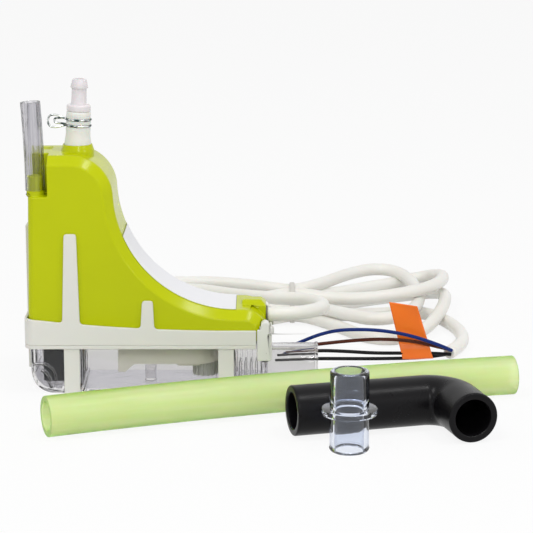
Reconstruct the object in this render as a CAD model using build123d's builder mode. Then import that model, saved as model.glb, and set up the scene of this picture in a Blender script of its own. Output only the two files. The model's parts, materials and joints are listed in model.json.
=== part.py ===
from build123d import *
import math
import os

# Mini condensate pump: an L-shaped pump head standing in a soft cradle on a clear
# reservoir, with its mains lead, a piece of drain hose, a rubber elbow and a connector.
# Millimetres.  X runs along the pump to the inlet, Y to its back, Z up from the floor.

os.makedirs("parts", exist_ok=True)

# ---------------------------------------------------------------- driving dimensions
# Pump head
HEAD_WIDTH = 36.0
HEAD_LEFT = -52.9          # left wall at the split line
HEAD_RIGHT = 53.4
HEAD_TOP = 107.0
HEAD_WALL = 2.0
LEFT_DRAFT = 1.2           # degrees
FOOT_TOP = 37.6            # flat over the foot
SWEEP_X = 39.5             # where the sweep runs out into the flat
SWEEP_RADIUS = 54.0
BROW_RADIUS = 18.5
NOSE_RADIUS = 10.5
EDGE_BEVEL = 4.0
CORNER_RADIUS = 3.0
SPLIT_Z = 24.2             # head sits on the reservoir rim here

# Vent notch in the near left corner, with its barb and clear tube
NOTCH_RIGHT = -42.9
NOTCH_BACK = -7.5
NOTCH_FLOOR = 89.1
VENT_X = -48.5
VENT_Y = -12.6
VENT_BARB_R = 3.3
VENT_BARB_H = 9.0
VENT_COLLAR_H = 2.3
VENT_BORE_R = 1.5
VENT_COLLAR_R = 3.9
VENT_TUBE_R = 4.32
VENT_TUBE_WALL = 0.9
VENT_TUBE_LENGTH = 39.6
VENT_CUT_SLOPE = 0.1         # the tube was cut slightly askew

# Discharge at the top
PUMP_X = -30.7
BOSS_R = 7.4
BOSS_TAPER = 18.0          # degrees
BOSS_HEIGHT = 2.9
BOSS_HOLE_R = 6.1
DISCHARGE_LEAN = 2.6       # degrees, the soft sleeve leans with the hose
SLEEVE_R = 5.6
SLEEVE_BORE_R = 3.2
SLEEVE_RISE = 17.7         # above the head's top
SLEEVE_DROP = 8.5          # below the head's top
SLEEVE_LAP = 0.5
SLEEVE_BEND = 60.0
SLEEVE_SQUEEZE = 0.7
SLEEVE_WAIST_Z = 12.6      # lower loop of the wire clip above the head's top
COLLAR_R = 4.95
COLLAR_H = 2.6
BARB_NECK_R = 3.1
BARB_TIP_R = 3.7
BARB_BORE_R = 2.0
BARB_NECK_H = 7.6
BARB_HEAD_H = 4.0
BARB_TAPER = 0.8
BARB_SPIGOT = 8.0
WIRE_CLIP_R = 0.4
WIRE_CLIP_PITCH = 2.7
EAR_ANGLE = 14.0
EAR_LONG = 11.9
EAR_SHORT = 9.3
EAR_SPREAD = 1.3

# Label field on the sweep
LABEL_WIDTH = 27.0
LABEL_THICKNESS = 1.0
LABEL_RECESS = 0.6
LABEL_TOP_ANGLE = 202.5    # degrees round the sweep's centre
LABEL_END_ANGLE = 270.0
LABEL_MARGIN = 0.15        # degrees
LABEL_FIT = 0.1

# Air slots in the top, screw bosses, hinge blocks and hold-down ribs inside
SLOT_X = -45.5
SLOT_Y = 3.5
SLOT_PITCH = 2.6
SLOT_COUNT = 3
SLOT_LENGTH = 6.0
SLOT_WIDTH = 1.0
SCREW_XS = (-22.5, 45.5)
SCREW_FROM_WALL = 5.8
SCREW_R = 1.3
SCREW_HEAD_R = 2.1
SCREW_HEAD_T = 1.4
SCREW_BITE = 6.5
SCREW_BOSS_R = 2.6
SCREW_BOSS_H = 8.0
HINGE_BLOCK = 4.0
RIB_REACH = 10.0
RIB_T = 1.6

# Lead gland and its block on the nose
CABLE_D = 6.4
GLAND_Z = 31.9
GLAND_LEFT = 42.0
GLAND_RIGHT = 52.8
GLAND_WIDTH = 11.0
GLAND_TOP = 39.6
GLAND_BEVEL = 2.2
BUSH_R = 3.9
BUSH_LENGTH = 9.0
GRIP_WALL = 1.4

# Reservoir
TRAY_LEFT = -52.2
TRAY_RIGHT = 53.2
TRAY_STEP_IN = 0.7          # the tray's walls stand in from the head's
TRAY_WALL = 1.6
TRAY_CORNER_R = 10.8
TRAY_PLAN_R = 4.0
RIM_OVERHANG = 0.7
RIM_HEIGHT = 1.8
SPIGOT_R = 8.0
SPIGOT_BORE_R = 6.4
SPIGOT_Z = 10.6
SPIGOT_END = 76.2
SPIGOT_RIM = 0.4
SPIGOT_RIM_T = 1.2
STRAP_GAP = 0.2
RAIL_T = 1.0
RAIL_Y = 8.0
STOP_FROM_WALL = 4.3
STOP_LENGTH = 6.0
STOP_HEIGHT = 18.0
TRAY_POST_X = 0.5
TRAY_POST_R = 2.5
TRAY_POST_TOP = 10.7
COMB_X = 38.9
COMB_PITCH = 2.4
COMB_COUNT = 5
COMB_T = 0.8
COMB_FROM_WALL = 5.1
COMB_LENGTH = 7.6
COMB_TOP = 14.4
CURL_DEPTH = 3.8
CURL_OUTER = ((-51.0, 12.5), (-45.9, 12.6), (-41.9, 9.3), (-41.1, 5.4), (-41.8, 1.0))
CURL_INNER = ((-47.6, 10.0), (-45.0, 8.2), (-43.6, 5.4), (-43.0, 2.2))

# Cradle round the foot of the head
CRADLE_WALL = 1.3
CRADLE_GAP = 0.25
CRADLE_END = 48.4
CRADLE_LIP_Z = 20.8
CRADLE_TOP_LEFT = 34.6
CRADLE_TOP_MID = 30.6
CRADLE_TOP_RIGHT = 29.2
CRADLE_CORNER = 4.3
LIP_GAP = 0.15
LEG_FIT = 0.15
LEG_T = 1.55
END_FINGER_HALF = 3.5
LEG_WIDTH = 7.0
LEG_STRAP = 1.2
LEG_XS = (-33.5, 35.0)
TALL_FINGER = ((-37.5, 30.0), (-35.9, 72.9), (-30.5, 72.9), (-29.6, 30.0))
SMALL_FINGER = ((-2.9, 28.0), (-1.96, 42.8), (2.8, 42.8), (3.35, 28.0))
END_FINGER_TOP = 73.8
END_STUB_BOTTOM = 8.2

# Release clip at the inlet end
CLIP_AXIS_X = 52.4
CLIP_AXIS_Z = 31.4
CLIP_LEFT = 48.8
CLIP_BOTTOM = 15.3
CLIP_TOP = 29.7
CLIP_WALL = 1.2
CLIP_CORNER = 2.0
CLIP_ARCH = 0.8
CABLE_NOTCH = 9.0
CABLE_NOTCH_DEPTH = 5.7
NUB_R = 1.0
NUB_Z = 26.7
NUB_HALF = 12.0
KNUCKLE_R = 1.9
KNUCKLE_DEPTH = 3.5
PIN_R = 0.9
PIN_LENGTH = 5.2
PIN_FROM_SIDE = 0.4
HINGE_CLEARANCE = 0.05
MOVE_GAP = 0.3
HOOK_DEPTH = 0.6
HOOK_RAMP = 2.4
HOOK_GAP = 0.1
HOOK_FROM_WALL = 1.8
HOOK_LENGTH = 6.0
BEAD_Z = 18.6

# Float
FLOAT_X = -39.0
FLOAT_LENGTH = 16.0
FLOAT_WIDTH = 24.0
FLOAT_HEIGHT = 14.0
FLOAT_Z = 4.3
FLOAT_CORNER = 2.0
MAGNET_R = 3.0
MAGNET_H = 2.5

# Base plate under the head
PLATE_T = 2.0
PLATE_FIT = 0.15
WELL_X = -39.25
WELL_LENGTH = 21.5
WELL_WIDTH = 27.2
WELL_TOP = 29.4
WELL_WALL = 1.2
BLOCK_LEFT = -6.4
BLOCK_WIDTH = 22.0
BLOCK_CENTRE = 21.0        # centre of the block's round end
BLOCK_BOTTOM = 11.7
BLOCK_WALL = 1.5
BUMP_X = 18.0
BUMP_LENGTH = 10.3
BUMP_WIDTH = 16.0
BUMP_BOTTOM = 10.2
TAB_LEFT = -13.5
TAB_BOTTOM = 8.1
TAB_FLAT = 3.2
STRAINER_X = 25.2
STRAINER_R = 5.8
STRAINER_BOTTOM = 4.6
STRAINER_BORE_R = 4.4
STRAINER_RIB = 0.9
STRAINER_RIBS = 14
SEAL_T = 1.6
SEAL_LIP = 2.0
SEAL_FIT = 0.3
INLET_X = 8.0
NIPPLE_R = 1.6
NIPPLE_BORE_R = 0.9
NIPPLE_H = 3.0
INLET_TUBE_R = 3.0
INLET_RUN_Z = 33.4
INLET_BEND = 3.4

# Solenoid piston pump
YOKE_HALF = 14.0
YOKE_DEPTH = 20.0
YOKE_BOTTOM = 48.0
YOKE_HEIGHT = 34.0
YOKE_T = 1.5
LOWER_MOUNT_T = 4.0
UPPER_MOUNT_TOP = 87.0
MOUNT_LENGTH = 27.0
MOUNT_WIDTH = 18.0
MOUNT_CORNER = 3.0
PILLAR_X = 9.0
PILLAR_Y = 5.0
PILLAR_R = 1.6
BARREL_BOTTOM = 46.0
BARREL_TOP = 92.0
BARREL_R = 5.5
BARREL_BORE_R = 4.2
PLUNGER_R = 4.12
PLUNGER_Z = 58.0
RING_W = 1.6
RING_D = 0.4
PLUNGER_LENGTH = 24.0
PLUNGER_BORE_R = 1.5
BOBBIN_R = 12.0
BOBBIN_WALL = 1.2
BOBBIN_FIT = 0.5
WINDING_R = 11.2
VALVE_R = 6.2
VALVE_H = 8.0
VALVE_NIPPLE = 1.2
OUTLET_H = 6.0
OUTLET_NIPPLE = 5.0
SPRING_WIRE_R = 0.35
SPRING_R = 3.3
SPRING_TURNS = 5

# Control electronics
BOARD_Z = 28.2
BOARD_T = 1.6
BOARD_X = 27.2
BOARD_LENGTH = 28.4
BOARD_WIDTH = 28.0
POST_R = 1.8
POST_XS = (16.0, 38.4)
POST_Y = 11.0
BOARD_SCREW_R = 0.9
BOARD_SCREW_HEAD = 1.3
BOARD_PARTS = (            # x, y, length, width, height
    (27.0, -7.5, 15.0, 9.0, 5.0),
    (27.0, 6.0, 10.0, 8.0, 5.2),
    (36.5, 2.0, 5.0, 7.0, 4.4),
    (18.0, 3.0, 4.5, 9.0, 4.0),
    (35.0, -7.0, 0.8, 9.0, 3.0),
)
SENSOR_Y = 9.4
SENSOR_LENGTH = 4.2
SENSOR_WIDTH = 3.2
SENSOR_T = 1.6
CUTOUT_Z = 64.0
CUTOUT_LENGTH = 12.0
CUTOUT_WIDTH = 8.0
CUTOUT_T = 2.6

# Kit pieces
HOSE_R = 8.65
HOSE_BORE_R = 6.15
HOSE_START = (-38.5, -81.0)
HOSE_MIDDLE = (62.0, -44.6)
HOSE_END = (162.8, -18.2)
ELBOW_R = 10.6
ELBOW_BORE_R = 7.7
ELBOW_BEND = 18.0
ELBOW_LONG = 69.1          # open end to the corner of the centre line
ELBOW_SHORT = 29.9
ELBOW_START = (63.5, -79.1)
ELBOW_TURN = 15.4          # degrees, long leg from the X axis
CONNECTOR_AT = (86.6, -99.6)
CONNECTOR_R = 8.0
CONNECTOR_BORE_R = 6.0
CONNECTOR_H = 34.0
CONNECTOR_FLANGE_R = 11.4
CONNECTOR_FLANGE_T = 2.4
CONNECTOR_CHAMFER = 1.5
FLOOR_GAP = 0.1

# Mains lead: route points, hank outline, wires and marker
LEAD_ROUTE = (
    (52.8, 0, 31.9), (62, 0.6, 31.9), (71, 5.5, 31.6), (77, 15, 30.5), (80, 29, 28.5),
    (77.5, 43, 27), (69.5, 53, 26), (57.5, 58, 25.2), (45, 65, 24.3), (32, 78, 22.6), (18, 92, 21.3),
)
TAIL_ROUTE = (
    (130, 118, 6), (137, 112, 4.4), (142.6, 100, 3.6), (147.4, 85, 3.4), (149, 68, 3.4),
    (146.4, 52, 3.4), (139.6, 38.5, 3.4),
)
HANK_OUTER = (
    (-18, 110), (-4, 127), (30, 129), (66, 120), (96, 153), (122, 166), (146, 148),
    (144, 110), (131, 73), (112, 60), (94, 78), (66, 100), (30, 91), (-4, 93),
)
HANK_LEFT_HOLE = ((-9, 110), (4, 118.5), (32, 118.5), (50, 112), (32, 102), (4, 101.5))
HANK_RIGHT_HOLE = (
    (83, 111), (101, 145), (121, 156), (137, 143), (135, 110), (123, 77), (111, 71.5), (101, 82),
)
HANK_HEIGHT = 18.0
TIE_X = 66.0
TIE_Y = 110.0
TIE_WIDTH = 2.6
TIE_T = 1.1
WAIST_WIDTH = 21.5
WIRE_D = 1.7
WIRE_BLUE = (
    (140.7, 37.4, 4.7), (134.5, 33.2, 8.6), (120, 31.4, 13.9), (107, 30.6, 16.4),
    (95, 29.4, 17.2), (84, 28.6, 16.8), (72, 28.4, 13), (61, 28.8, 7.4),
)
WIRE_BROWN = (
    (139.0, 38.2, 5.2), (133.6, 35.2, 7.2), (122, 33.9, 10.4), (107, 33.2, 11.6),
    (92, 31.2, 11.2), (77, 28, 10.4), (62, 25.6, 9.2),
)
WIRE_BLACK_A = (
    (140.4, 37.5, 2.8), (131, 36.0, 3.9), (117, 35.8, 3.9), (103, 32.6, 4.8), (89, 28, 7),
    (75, 24.4, 8.4), (58, 22, 7.6),
)
WIRE_BLACK_B = (
    (138.0, 38.9, 2.4), (128, 36.8, 1.4), (115, 35.8, 1.3), (101, 32, 2.2), (87, 27.2, 3.6),
    (73, 23, 4.8), (57, 19.9, 4.8),
)
MARKER = ((110.6, 28.5), (123.2, 27.0), (131.9, 0.8), (117.5, 0.0))
MARKER_Y = 36.1
MARKER_T = 1.0

# ---------------------------------------------------------------- derived places
HALF = HEAD_WIDTH / 2
BROW_Z = HEAD_TOP - BROW_RADIUS
SWEEP_Z = FOOT_TOP + SWEEP_RADIUS
BROW_X = SWEEP_X - math.sqrt((BROW_RADIUS + SWEEP_RADIUS) ** 2 - (SWEEP_Z - BROW_Z) ** 2)
NOSE_X = HEAD_RIGHT - NOSE_RADIUS
NOSE_Z = FOOT_TOP - NOSE_RADIUS
BLEND_ANGLE = math.degrees(math.atan2(SWEEP_Z - BROW_Z, SWEEP_X - BROW_X))
DRAFT_SLOPE = math.tan(math.radians(LEFT_DRAFT))
INNER_BEVEL = EDGE_BEVEL - (2 - math.sqrt(2)) * HEAD_WALL
TRAY_WIDTH = HEAD_WIDTH - 2 * TRAY_STEP_IN
TRAY_HALF = TRAY_WIDTH / 2
LEG_IN = TRAY_HALF + LEG_FIT
LEG_OUT = LEG_IN + LEG_T
STOP_Y = TRAY_HALF - STOP_FROM_WALL
COMB_Y = TRAY_HALF - COMB_FROM_WALL
HOOK_OUT = TRAY_HALF - HOOK_FROM_WALL
HOOK_IN = HOOK_OUT - HOOK_LENGTH
KNUCKLE_IN = HALF - KNUCKLE_DEPTH
PIN_OUT = HALF - PIN_FROM_SIDE
PIN_IN = PIN_OUT - PIN_LENGTH
CRADLE_IN = HALF + CRADLE_GAP
CRADLE_OUT = CRADLE_IN + CRADLE_WALL
CLIP_IN_X = TRAY_RIGHT + RIM_OVERHANG + MOVE_GAP
CLIP_OUT_X = CLIP_IN_X + CLIP_WALL
PLATE_TOP = SPLIT_Z + PLATE_T
CAVITY_HALF = HALF - HEAD_WALL
SCREW_Y = CAVITY_HALF - SCREW_FROM_WALL
GRIP_BOTTOM = GLAND_Z - BUSH_R - GRIP_WALL
CRADLE_LEFT = HEAD_LEFT - CRADLE_GAP - CRADLE_WALL
CRADLE_TOP_LINE = (
    (CRADLE_LEFT, CRADLE_TOP_LEFT), (-10.0, CRADLE_TOP_MID), (CRADLE_END, CRADLE_TOP_RIGHT)
)
CLIP_IN = HALF + MOVE_GAP
CLIP_OUT = CLIP_IN + CLIP_WALL
SEAL_LENGTH = TRAY_RIGHT - TRAY_LEFT - 2 * TRAY_WALL - 2 * SEAL_FIT
SEAL_WIDTH = TRAY_WIDTH - 2 * TRAY_WALL - 2 * SEAL_FIT
SEAL_CORNER = TRAY_PLAN_R - TRAY_WALL
BOBBIN_BOTTOM = YOKE_BOTTOM + YOKE_T + BOBBIN_FIT
BOBBIN_LENGTH = YOKE_HEIGHT - 2 * YOKE_T - 2 * BOBBIN_FIT
LOWER_SPRING_H = PLUNGER_Z - BARREL_BOTTOM - 2 * SPRING_WIRE_R
UPPER_SPRING_H = BARREL_TOP - PLUNGER_Z - PLUNGER_LENGTH - 2 * SPRING_WIRE_R
WIRE_HOOP_R = SLEEVE_R - SLEEVE_SQUEEZE + WIRE_CLIP_R
EAR_ROOT_X = -WIRE_HOOP_R * math.cos(math.radians(EAR_ANGLE))
EAR_ROOT_Y = WIRE_HOOP_R * math.sin(math.radians(EAR_ANGLE))
LEAN = math.radians(DISCHARGE_LEAN)
PUMP_AXIS = Axis((PUMP_X, 0, 0), (0, 0, 1))
DISCHARGE_TOP = Plane(
    (PUMP_X, 0, HEAD_TOP), x_dir=(math.cos(LEAN), 0, -math.sin(LEAN)),
    z_dir=(math.sin(LEAN), 0, math.cos(LEAN)),
)
DISCHARGE = Plane(DISCHARGE_TOP.origin, x_dir=DISCHARGE_TOP.x_dir, z_dir=(0, -1, 0))
DISCHARGE_AXIS = Axis(DISCHARGE_TOP.origin, DISCHARGE_TOP.z_dir)
VENT_TUBE_CUT = (VENT_X, VENT_Y, NOTCH_FLOOR + VENT_COLLAR_H + VENT_TUBE_LENGTH - VENT_TUBE_R / 9)


def front_plane(y):
    """The XZ plane moved to depth y; a sketch on it reads as (x, z)."""
    return Plane.XZ.offset(-y)


def side_plane(x):
    """The YZ plane moved to x; a sketch on it reads as (y, z)."""
    return Plane.YZ.offset(x)


def both_sides(xs, ys):
    """Every (x, y) with its mirror image at -y."""
    return [(x, s * y) for x in xs for y in ys for s in (-1, 1)]


def wall_left(z):
    """X of the drafted left wall at height z."""
    return HEAD_LEFT + (z - SPLIT_Z) * DRAFT_SLOPE


SCREW_PLACES = both_sides(SCREW_XS, [SCREW_Y])
BOARD_POSTS = both_sides(POST_XS, [POST_Y])
PILLARS = both_sides([PUMP_X - PILLAR_X, PUMP_X + PILLAR_X], [PILLAR_Y])
PLATE_LEFT = wall_left(PLATE_TOP) + HEAD_WALL + PLATE_FIT
PLATE_RIGHT = HEAD_RIGHT - HEAD_WALL - PLATE_FIT
PLATE_HALF = CAVITY_HALF - PLATE_FIT


def head_profile(inset, bottom):
    """Side outline of the head, moved inwards by inset and cut off at bottom."""
    top = HEAD_TOP - inset
    right = HEAD_RIGHT - inset
    with BuildLine() as outline:
        Line((wall_left(bottom) + inset, bottom), (wall_left(top) + inset, top))
        Line((wall_left(top) + inset, top), (BROW_X, top))
        CenterArc((BROW_X, BROW_Z), BROW_RADIUS - inset, 90, BLEND_ANGLE - 90)
        CenterArc((SWEEP_X, SWEEP_Z), SWEEP_RADIUS + inset, 180 + BLEND_ANGLE, 90 - BLEND_ANGLE)
        Line((SWEEP_X, FOOT_TOP - inset), (NOSE_X, FOOT_TOP - inset))
        CenterArc((NOSE_X, NOSE_Z), NOSE_RADIUS - inset, 90, -90)
        Line((right, NOSE_Z), (right, bottom))
        Line((right, bottom), (wall_left(bottom) + inset, bottom))
    return outline.line


def sweep_band(inner, outer, margin):
    """A strip of the sweep between two radii, for the label and its recess."""
    start = LABEL_TOP_ANGLE - margin
    turn = LABEL_END_ANGLE - LABEL_TOP_ANGLE + 2 * margin
    with BuildLine() as strip:
        near = CenterArc((SWEEP_X, SWEEP_Z), inner, start, turn)
        far = CenterArc((SWEEP_X, SWEEP_Z), outer, start, turn)
        Line(near @ 0, far @ 0)
        Line(near @ 1, far @ 1)
    return strip.line


def corner_sliver(radius):
    """What a rolled corner of that radius takes off the tray's lower left end."""
    centre = TRAY_LEFT + TRAY_CORNER_R, TRAY_CORNER_R
    with BuildLine() as sliver:
        CenterArc(centre, radius, 180, 90)
        Polyline(
            (centre[0], centre[1] - radius), (centre[0], -1), (TRAY_LEFT - 1, -1),
            (TRAY_LEFT - 1, centre[1]), (centre[0] - radius, centre[1]),
        )
    return sliver.line


def top_edges(edges, half, bottom):
    """Edges of the two flat side faces that follow the top outline round to the right wall."""
    return edges.filter_by(
        lambda e: abs(abs(e.center().Y) - half) < 0.01
        and e.center().Z > bottom + 0.2
        and e.center().X > wall_left(e.center().Z) + 5
    )


def corner_radii(points):
    """One radius per corner: 0.45 of the shorter run over the tangent of half the turn."""
    found = []
    for a, b, c in zip(points, points[1:], points[2:]):
        before, after = Vector(*b) - Vector(*a), Vector(*c) - Vector(*b)
        half_turn = math.radians(before.get_angle(after)) / 2
        found.append(0.45 * min(before.length, after.length) / math.tan(half_turn))
    return found


def cord_line(points):
    """Straight runs joined by tangent arcs, as large as the runs allow."""
    with BuildLine() as route:
        FilletPolyline(*points, radius=corner_radii(points))
    return route.line


# ---------------------------------------------------------------- pump head, outside
with BuildPart() as cavity:
    with BuildSketch(Plane.XZ):
        make_face(head_profile(HEAD_WALL, SPLIT_Z - 1))
    extrude(amount=CAVITY_HALF, both=True)
    chamfer(top_edges(edges(), CAVITY_HALF, SPLIT_Z - 1), INNER_BEVEL)
    # what stays solid: a wall round the notch, the screw bosses, the grip and hinge blocks
    with BuildSketch(Plane.XY.offset(NOTCH_FLOOR - HEAD_WALL)):
        with Locations((NOTCH_RIGHT + HEAD_WALL, NOTCH_BACK + HEAD_WALL)):
            Rectangle(HEAD_WIDTH, HEAD_WIDTH, align=(Align.MAX, Align.MAX))
    extrude(amount=HEAD_TOP, mode=Mode.SUBTRACT)
    with BuildSketch(Plane.XY.offset(PLATE_TOP)):
        with Locations(*SCREW_PLACES):
            Circle(SCREW_BOSS_R)
        with Locations(*[(x, math.copysign(CAVITY_HALF, y)) for x, y in SCREW_PLACES]):
            Rectangle(SCREW_BOSS_R, 2 * (CAVITY_HALF - SCREW_Y))
    extrude(amount=SCREW_BOSS_H, mode=Mode.SUBTRACT)
    with BuildSketch(Plane.XY.offset(GRIP_BOTTOM)):
        with Locations((GLAND_LEFT, 0)):
            Rectangle(HEAD_WIDTH, GLAND_WIDTH, align=(Align.MIN, Align.CENTER))
    extrude(amount=HEAD_TOP, mode=Mode.SUBTRACT)
    with BuildSketch(Plane.XY.offset(CLIP_AXIS_Z - HINGE_BLOCK)):
        with Locations(*both_sides([CLIP_AXIS_X - HINGE_BLOCK], [CAVITY_HALF])):
            Rectangle(4 * HINGE_BLOCK, 2 * HINGE_BLOCK, align=(Align.MIN, Align.CENTER))
    extrude(amount=2 * HINGE_BLOCK, mode=Mode.SUBTRACT)
    with BuildSketch(Plane.XY.offset(UPPER_MOUNT_TOP)):             # ribs that hold the pump down
        with Locations((PUMP_X - RIB_REACH, 0), (PUMP_X + RIB_REACH, 0)):
            Rectangle(RIB_T, 2 * RIB_REACH)
    extrude(amount=HEAD_TOP, mode=Mode.SUBTRACT)

with BuildPart() as grip_block:
    with BuildSketch(Plane.XY.offset(GRIP_BOTTOM)):
        with Locations((GLAND_LEFT, 0)):
            Rectangle(GLAND_RIGHT - GLAND_LEFT, GLAND_WIDTH, align=(Align.MIN, Align.CENTER))
    extrude(amount=GLAND_TOP - GRIP_BOTTOM)
    chamfer(edges().group_by(Axis.Z)[-1].sort_by(Axis.X)[1:], GLAND_BEVEL)

with BuildPart() as housing_shell:
    with BuildSketch(Plane.XZ):
        make_face(head_profile(0, SPLIT_Z))
    extrude(amount=HALF, both=True)
    chamfer(top_edges(edges(), HALF, SPLIT_Z), EDGE_BEVEL)
    fillet(
        edges().filter_by(
            lambda e: e.center().X < HEAD_LEFT + 5
            and abs(abs(e.center().Y) - HALF) < 0.01
            and e.length > HEAD_WIDTH
        ),
        CORNER_RADIUS,
    )
    add(cavity.part, mode=Mode.SUBTRACT)
    with BuildSketch(Plane.XY.offset(NOTCH_FLOOR)):
        with Locations((NOTCH_RIGHT, NOTCH_BACK)):
            Rectangle(HEAD_WIDTH, HEAD_WIDTH, align=(Align.MAX, Align.MAX))
    extrude(amount=HEAD_TOP, mode=Mode.SUBTRACT)
    with BuildSketch(Plane.XY.offset(HEAD_TOP)):                    # conical discharge boss
        with Locations((PUMP_X, 0)):
            Circle(BOSS_R)
    extrude(amount=BOSS_HEIGHT, taper=BOSS_TAPER)
    with BuildSketch(Plane.XY.offset(HEAD_TOP)):
        with Locations((PUMP_X, 0)):
            Circle(BOSS_R)
    extrude(amount=-2 * HEAD_WALL)
    with BuildSketch(Plane.XY.offset(HEAD_TOP + BOSS_HEIGHT)):
        with Locations((PUMP_X, 0)):
            Circle(BOSS_HOLE_R)
    extrude(amount=-BOSS_HEIGHT - 3 * HEAD_WALL, mode=Mode.SUBTRACT)
    with BuildSketch(Plane.XY.offset(NOTCH_FLOOR)):                 # vent barb
        with Locations((VENT_X, VENT_Y)):
            Circle(VENT_BARB_R)
    extrude(amount=VENT_BARB_H)
    with BuildSketch(Plane.XY.offset(NOTCH_FLOOR)):
        with Locations((VENT_X, VENT_Y)):
            Circle(VENT_COLLAR_R)
    extrude(amount=VENT_COLLAR_H)
    with BuildSketch(Plane.XY.offset(NOTCH_FLOOR + VENT_BARB_H)):
        with Locations((VENT_X, VENT_Y)):
            Circle(VENT_BORE_R)
    extrude(amount=-VENT_BARB_H - HEAD_WALL, mode=Mode.SUBTRACT)
    with BuildSketch(Plane.XY.offset(HEAD_TOP)):                    # air slots
        with Locations(*[(SLOT_X, SLOT_Y + i * SLOT_PITCH) for i in range(SLOT_COUNT)]):
            SlotOverall(SLOT_LENGTH, SLOT_WIDTH)
    extrude(amount=-HEAD_WALL, mode=Mode.SUBTRACT)
    with BuildSketch(Plane.XZ):                                     # label recess
        make_face(sweep_band(SWEEP_RADIUS - LABEL_THICKNESS, SWEEP_RADIUS + LABEL_RECESS, 0))
    extrude(amount=LABEL_WIDTH / 2, both=True, mode=Mode.SUBTRACT)
    add(grip_block.part)
    with BuildSketch(side_plane(GLAND_RIGHT - BUSH_LENGTH)):
        with Locations((0, GLAND_Z)):
            Circle(BUSH_R)
    extrude(amount=HEAD_WIDTH, mode=Mode.SUBTRACT)
    with BuildSketch(side_plane(GLAND_RIGHT)):
        with Locations((0, GLAND_Z)):
            Circle(CABLE_D / 2)
    extrude(amount=GLAND_LEFT - GLAND_RIGHT, mode=Mode.SUBTRACT)
    with BuildSketch(front_plane(KNUCKLE_IN - MOVE_GAP)):           # pockets for the clip's knuckles
        with Locations((CLIP_AXIS_X, CLIP_AXIS_Z)):
            Circle(KNUCKLE_R + MOVE_GAP)
    extrude(amount=-HALF, mode=Mode.SUBTRACT)
    with BuildSketch(front_plane(MOVE_GAP - KNUCKLE_IN)):
        with Locations((CLIP_AXIS_X, CLIP_AXIS_Z)):
            Circle(KNUCKLE_R + MOVE_GAP)
    extrude(amount=HALF, mode=Mode.SUBTRACT)
    for side in (-1, 1):
        with BuildSketch(front_plane(side * PIN_OUT)):
            with Locations((CLIP_AXIS_X, CLIP_AXIS_Z)):
                Circle(PIN_R)
        extrude(amount=side * (PIN_OUT - PIN_IN), mode=Mode.SUBTRACT)
    with BuildSketch(Plane.XY.offset(PLATE_TOP)):                   # screw holes in the bosses
        with Locations(*SCREW_PLACES):
            Circle(SCREW_R)
    extrude(amount=SCREW_BITE, mode=Mode.SUBTRACT)

with BuildPart() as label_plate:
    with BuildSketch(Plane.XZ):
        make_face(
            sweep_band(
                SWEEP_RADIUS + LABEL_RECESS - LABEL_THICKNESS, SWEEP_RADIUS + LABEL_RECESS,
                -LABEL_MARGIN,
            )
        )
    extrude(amount=LABEL_WIDTH / 2 - LABEL_FIT, both=True)

with BuildPart() as vent_tube:
    with BuildSketch(Plane.XY.offset(NOTCH_FLOOR + VENT_COLLAR_H)):
        with Locations((VENT_X, VENT_Y)):
            Circle(VENT_TUBE_R)
            Circle(VENT_TUBE_R - VENT_TUBE_WALL, mode=Mode.SUBTRACT)
    extrude(amount=VENT_TUBE_LENGTH)
    split(bisect_by=Plane(VENT_TUBE_CUT, z_dir=(-VENT_CUT_SLOPE, 0, 1)), keep=Keep.BOTTOM)

with BuildPart() as discharge_sleeve:
    with BuildLine() as bend:
        FilletPolyline(
            (PUMP_X, 0, HEAD_TOP - SLEEVE_DROP), (PUMP_X, 0, HEAD_TOP),
            DISCHARGE_TOP.offset(SLEEVE_RISE).origin, radius=SLEEVE_BEND,
        )
    with BuildSketch(Plane.XY.offset(HEAD_TOP - SLEEVE_DROP)):
        with Locations((PUMP_X, 0)):
            Circle(SLEEVE_R)
            Circle(SLEEVE_BORE_R, mode=Mode.SUBTRACT)
    sweep(path=bend.line)
    with BuildSketch(DISCHARGE):                                    # waist that the clip squeezes
        with BuildLine():
            Polyline(
                (SLEEVE_R, SLEEVE_WAIST_Z - 4 * SLEEVE_SQUEEZE),
                (SLEEVE_R - SLEEVE_SQUEEZE, SLEEVE_WAIST_Z - 2 * SLEEVE_SQUEEZE),
                (SLEEVE_R - SLEEVE_SQUEEZE, SLEEVE_WAIST_Z + WIRE_CLIP_PITCH),
                (SLEEVE_R - SLEEVE_SQUEEZE / 2, SLEEVE_RISE + SLEEVE_LAP),
                (SLEEVE_R + SLEEVE_LAP, SLEEVE_RISE + SLEEVE_LAP),
                (SLEEVE_R + SLEEVE_LAP, SLEEVE_WAIST_Z - 4 * SLEEVE_SQUEEZE),
                close=True,
            )
        make_face()
    revolve(axis=DISCHARGE_AXIS, mode=Mode.SUBTRACT)

with BuildPart() as discharge_barb:
    with BuildSketch(DISCHARGE):
        with BuildLine():
            Polyline(
                (BARB_BORE_R, SLEEVE_RISE - BARB_SPIGOT),
                (SLEEVE_BORE_R, SLEEVE_RISE - BARB_SPIGOT),
                (SLEEVE_BORE_R, SLEEVE_RISE),
                (COLLAR_R, SLEEVE_RISE),
                (COLLAR_R, SLEEVE_RISE + COLLAR_H),
                (BARB_NECK_R, SLEEVE_RISE + COLLAR_H),
                (BARB_NECK_R, SLEEVE_RISE + COLLAR_H + BARB_NECK_H),
                (BARB_TIP_R, SLEEVE_RISE + COLLAR_H + BARB_NECK_H),
                (BARB_TIP_R - BARB_TAPER, SLEEVE_RISE + COLLAR_H + BARB_NECK_H + BARB_HEAD_H),
                (BARB_BORE_R, SLEEVE_RISE + COLLAR_H + BARB_NECK_H + BARB_HEAD_H),
                close=True,
            )
        make_face()
    revolve(axis=DISCHARGE_AXIS)

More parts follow.
